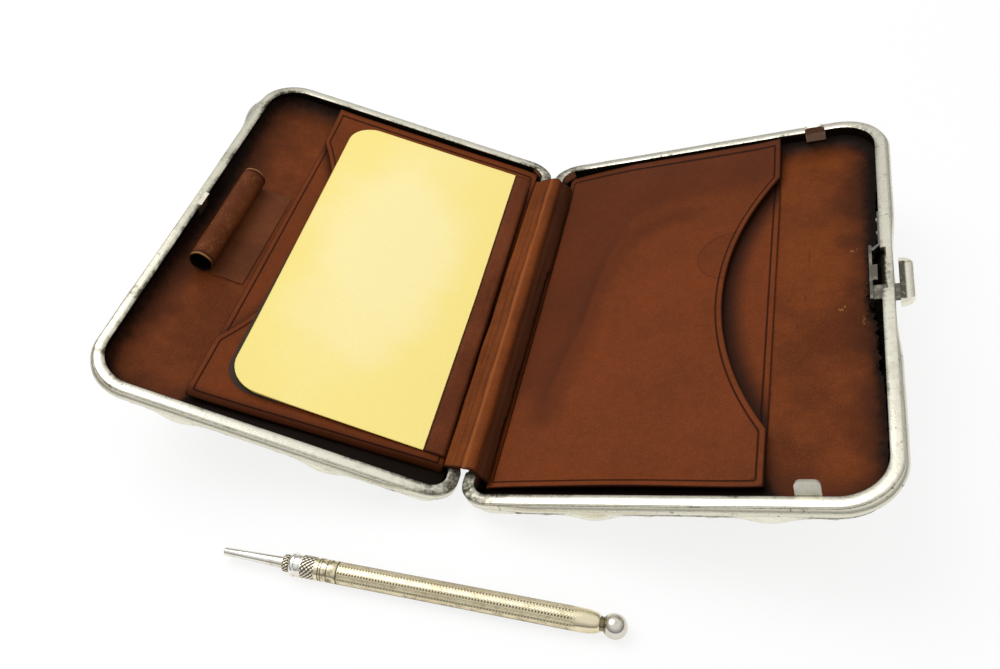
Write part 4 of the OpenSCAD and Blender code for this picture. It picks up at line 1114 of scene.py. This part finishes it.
def pencil_silver(name, bright, cut=""):
    """Silver of the pencil: plain, scribed with rings, with slanting cuts, or with the barrel's scallops."""
    finish = material(name, bright)
    calc, times, most, span = finish.calc, finish.times, finish.most, finish.span
    laid = finish.put("Mapping", {"vector_type": "TEXTURE"}, Vector=finish.where,
                      Location=onto_table.translation, Rotation=onto_table.to_euler()).outputs[0]
    x, y, z = finish.put("SeparateXYZ", Vector=laid).outputs
    turn, along = calc("ARCTAN2", y, x), times(z, 1 / MM)
    worn = finish.use(silver_wear, Place=finish.where, Recess=0.0, Amount=0.5)
    # Painted shade: the underside is laid a darker gold, and stains are darker there.
    underside_shade = span(x, -1.2 * MM, 1.6 * MM)
    tone = finish.scaled(underside_shade, 0.75, times(span(worn["Cloud"], 0.4, 0.65), 0.25))
    dark, height, depth = worn["Tarnish"], times(worn["Scratch"], 0.1), 0.05
    if cut == "scallops":
        wave = calc("SINE", times(along, 2 * math.pi / scallop))
        side = calc("PINGPONG", finish.plus(turn, 2 * math.pi - barrel_turn), math.pi / barrel_sides)
        line = finish.scaled(wave, 0.05, side)
        ring = calc("SINE", finish.scaled(side, 42.0, times(wave, 1.2)))
        worked = span(along, 64.5, 66.5, 1.0, 0.0)
        facing = span(finish.apart(turn, barrel_turn - math.pi), 0.2, 0.4, 1.0, 0.85)
        strong = times(times(facing, worked), span(wave, -0.5, 0.5, 0.25, 1.0))
        stained = times(span(finish.speckle(finish.where, 1.0, 5), 0.48, 0.64, 0.0, 0.75), worked)
        dark = most(dark, times(span(line, 0.06, 0.19, 1.0, 0.0), strong))
        dark = most(dark, times(stained, finish.scaled(underside_shade, 0.65, 0.35)))
        tone = finish.plus(tone, times(span(ring, -1.0, 1.0, 0.4, 0.0), worked))
        height = times(worked, finish.plus(times(ring, 0.25), times(span(line, 0.02, 0.14), 0.8)))
    elif cut == "slanting":
        round_turn, slip = times(turn, hatch_lines), times(along, hatch_slant)
        slant = calc("SINE", finish.plus(round_turn, slip))
        cross = calc("SINE", finish.less(round_turn, slip))
        height, depth = finish.scaled(cross, hatch_cross, slant), 0.02
        dark = most(dark, span(height, -0.4, 0.6, 0.95, 0.0))
    elif cut == "scribed":
        stained = span(finish.speckle(finish.where, 1.1, 5), 0.46, 0.62, 0.0, 0.8)
        dark = most(dark, times(stained, span(worn["Cloud"], 0.35, 0.55, 0.5, 1.0)))
        for station in scribed_at:
            dark = most(dark, span(finish.apart(along, station), 0.05, 0.16, 0.9, 0.0))
    finish.lay(tone, pencil_gold)
    finish.lay(dark, pencil_dark)
    finish.surface(Roughness=finish.scaled(dark, 0.3, 0.2), Metallic=1.0)
    finish.bump(height, depth)
    return finish


def lay_down(piece, body, node):
    piece.data.transform(onto_table)
    fit(smooth(piece, 35), body, "pencil_silver", node)


neck_silver = pencil_silver("pencil_neck", (0.16, 0.14, 0.10, 1))
ball_silver = pencil_silver("pencil_ball", (0.74, 0.71, 0.65, 1))
bright_silver = pencil_silver("pencil_polished", (0.90, 0.885, 0.84, 1))
warm_silver = pencil_silver("pencil_warm", (0.86, 0.76, 0.52, 1), "scribed")
waved_silver = pencil_silver("pencil_waved", pencil_bright, "scallops")
hatched_silver = pencil_silver("pencil_hatched", (0.82, 0.77, 0.62, 1), "slanting")
dome = [(65.6 + 4.2 * math.sin(a), 1.35 + 0.75 * math.cos(a)) for a in np.linspace(0.1, math.pi / 2, 9)]
barrel = turned("pencil_barrel_waved", [(22.8, 1.95), (22.9, 2.1), (65.6, 2.1)] + dome, 120)
half_side = math.pi / barrel_sides
for v in barrel.data.vertices:
    from_middle = (math.atan2(v.co.y, v.co.x) - barrel_turn) % (2 * half_side) - half_side
    flat = math.cos(half_side) / math.cos(from_middle)
    grow = 1 + ramp(v.co.z / MM, barrel_end, barrel_end - 2.5) * barrel_flat * (flat - 1)
    v.co.x, v.co.y = v.co.x * grow, v.co.y * grow
lay_down(dress(barrel, waved_silver), "pencil", "pencil_barrel")
taper = [(13.3, 0.42), (0, 0.42), (0, 0.55), (0.06, 0.7), (0.2, 0.76), (11.6, 1.06), (12.1, 1.1), (13.4, 1.1)]
lay_down(dress(turned("pencil_nozzle_taper", taper), bright_silver), "nozzle", "pencil_nozzle")
ring = [(12.1, 1.45), (12.2, 1.58)] + [(z, 1.6) for z in np.linspace(12.3, 12.9, 7)]
ring += [(13.0, 1.58), (13.1, 1.45)]
milled_ring = hatched(turned("milled_ring_cut", ring, hatch_sides), 12.15, 13.05)
lay_down(dress(milled_ring, hatched_silver), "nozzle", "milled_ring")
ball = [(72.2 + 2.15 * math.sin(a), 2.15 * math.cos(a)) for a in np.linspace(-0.8, 1.52, 22)]
finial = dress(turned("pencil_finial_ball", [(69.8, 1.3), (70.35, 1.2)] + ball), ball_silver, neck_silver)
for face in finial.data.polygons:
    face.material_index = int(face.center.z < neck_end * MM)
lay_down(finial, "pencil", "pencil_finial")
sleeve = [(13.45, 1.55), (13.5, 1.75), (13.75, 2.05), (14.1, 2.15), (14.4, 2.12), (14.55, 1.95), (14.8, 1.95),
          (14.9, 2.04), (15.4, 2.04), (15.5, 1.95), (15.8, 1.95), (15.85, 2.05)]
sleeve += [(z, 2.08) for z in np.linspace(16.0, 18.3, 21)]
sleeve += [(18.45, 2.04), (19.2, 2.04), (19.25, 1.98), (19.35, 1.98), (19.4, 2.04), (20.8, 2.04),
           (20.85, 1.98), (20.95, 1.98), (21.0, 2.04), (22.7, 2.04), (22.8, 1.98)]
ferrule = hatched(turned("pencil_ferrule_sleeve", sleeve, hatch_sides), hatch_start + 0.05, hatch_end - 0.05)
dress(ferrule, bright_silver, hatched_silver, warm_silver)
for face in ferrule.data.polygons:
    face.material_index = sum(face.center.z >= station * MM for station in (hatch_start, hatch_end))
lay_down(ferrule, "pencil", "pencil_ferrule")
dress_nodes(warm_silver, "drive_tube", "lead_carrier")
graphite = material("graphite", graphite_black)
grain = graphite.speckle(graphite.where, 6.0, 4)
graphite.lay(grain, graphite_grey)
graphite.surface(Roughness=graphite.span(grain, 0.2, 0.8, 0.35, 0.55))
graphite.bump(grain, 0.02)
dress_nodes(graphite, "lead")

# Table, light and camera
# A plain white table under a soft overhead sky, with one broad lamp from the left.
# The camera stands where the photograph was taken from.
table_grey, table_pale, table_glow = (0.93, 0.93, 0.93, 1), (0.96, 0.96, 0.96, 1), 0.8
sky_tones = ((0.0, 0.12), (0.35, 0.45), (0.75, 0.88))
lamp_place, lamp_size, lamp_power = (-0.30, 0.08, 0.55), 0.5, 1.9
camera_place, camera_lens, camera_shift = (0.03831, -0.13281, 0.1496), 32.74, 0.05
camera_right, camera_up = Vector((0.9588, 0.2627, -0.1083)), Vector((-0.1255, 0.7334, 0.6681))
camera_back = Vector((0.2549, -0.627, 0.7362))
bpy.ops.object.select_all(action="DESELECT")
bpy.ops.mesh.primitive_plane_add(size=4, location=(0, 0, 0))
table = new_piece("table_top")
table_white = material("table_white", table_grey)
table_white.lay(table_white.speckle(table_white.where, 0.02, 2), table_pale)
table_white.surface(Roughness=0.9, Specular_IOR_Level=0.0)
ray = table_white.put("LightPath").outputs
mirrored = table_white.plus(ray["Is Glossy Ray"], ray["Is Transmission Ray"])
seen = table_white.calc("MINIMUM", table_white.plus(ray["Is Camera Ray"], mirrored), 1.0)
floor_mix = table_white.put("MixShader", Fac=table_white.times(seen, table_glow))
table_white.join(table_white.shader.outputs[0], floor_mix.inputs[1])
table_white.join(table_white.put("Emission", Strength=1.0).outputs[0], floor_mix.inputs[2])
table_white.join(floor_mix.outputs[0], table_white.tree.nodes["Material Output"].inputs["Surface"])
dress(table, table_white)
world = bpy.data.worlds.new("studio")
bpy.context.scene.world = world
world.use_nodes = True
sky = Finish(world.node_tree)
up = sky.put("SeparateXYZ", Vector=sky.put("TexCoord").outputs["Generated"]).outputs[2]
glow = sky.put("ValToRGB", Fac=up)
glow.color_ramp.elements.new(sky_tones[1][0])
for element, (position, tone) in zip(glow.color_ramp.elements, sky_tones):
    element.position, element.color = position, (tone, tone, tone, 1)
sky.join(glow.outputs[0], sky.tree.nodes["Background"].inputs["Color"])
bpy.ops.object.light_add(type="AREA", location=lamp_place)
lamp = bpy.context.object
lamp.data.shape, lamp.data.size, lamp.data.energy = "DISK", lamp_size, lamp_power
lamp.rotation_euler = (Vector((0, 0, 0)) - lamp.location).to_track_quat("-Z", "Y").to_euler()
bpy.ops.object.camera_add(location=camera_place)
camera = bpy.context.object
camera.rotation_euler = Matrix((camera_right, camera_up, camera_back)).transposed().to_euler()
camera.data.sensor_width, camera.data.lens = 36, camera_lens
camera.data.shift_x, camera.data.clip_start = camera_shift, 0.01
bpy.context.scene.camera = camera
bpy.context.scene.view_settings.view_transform = "Standard"
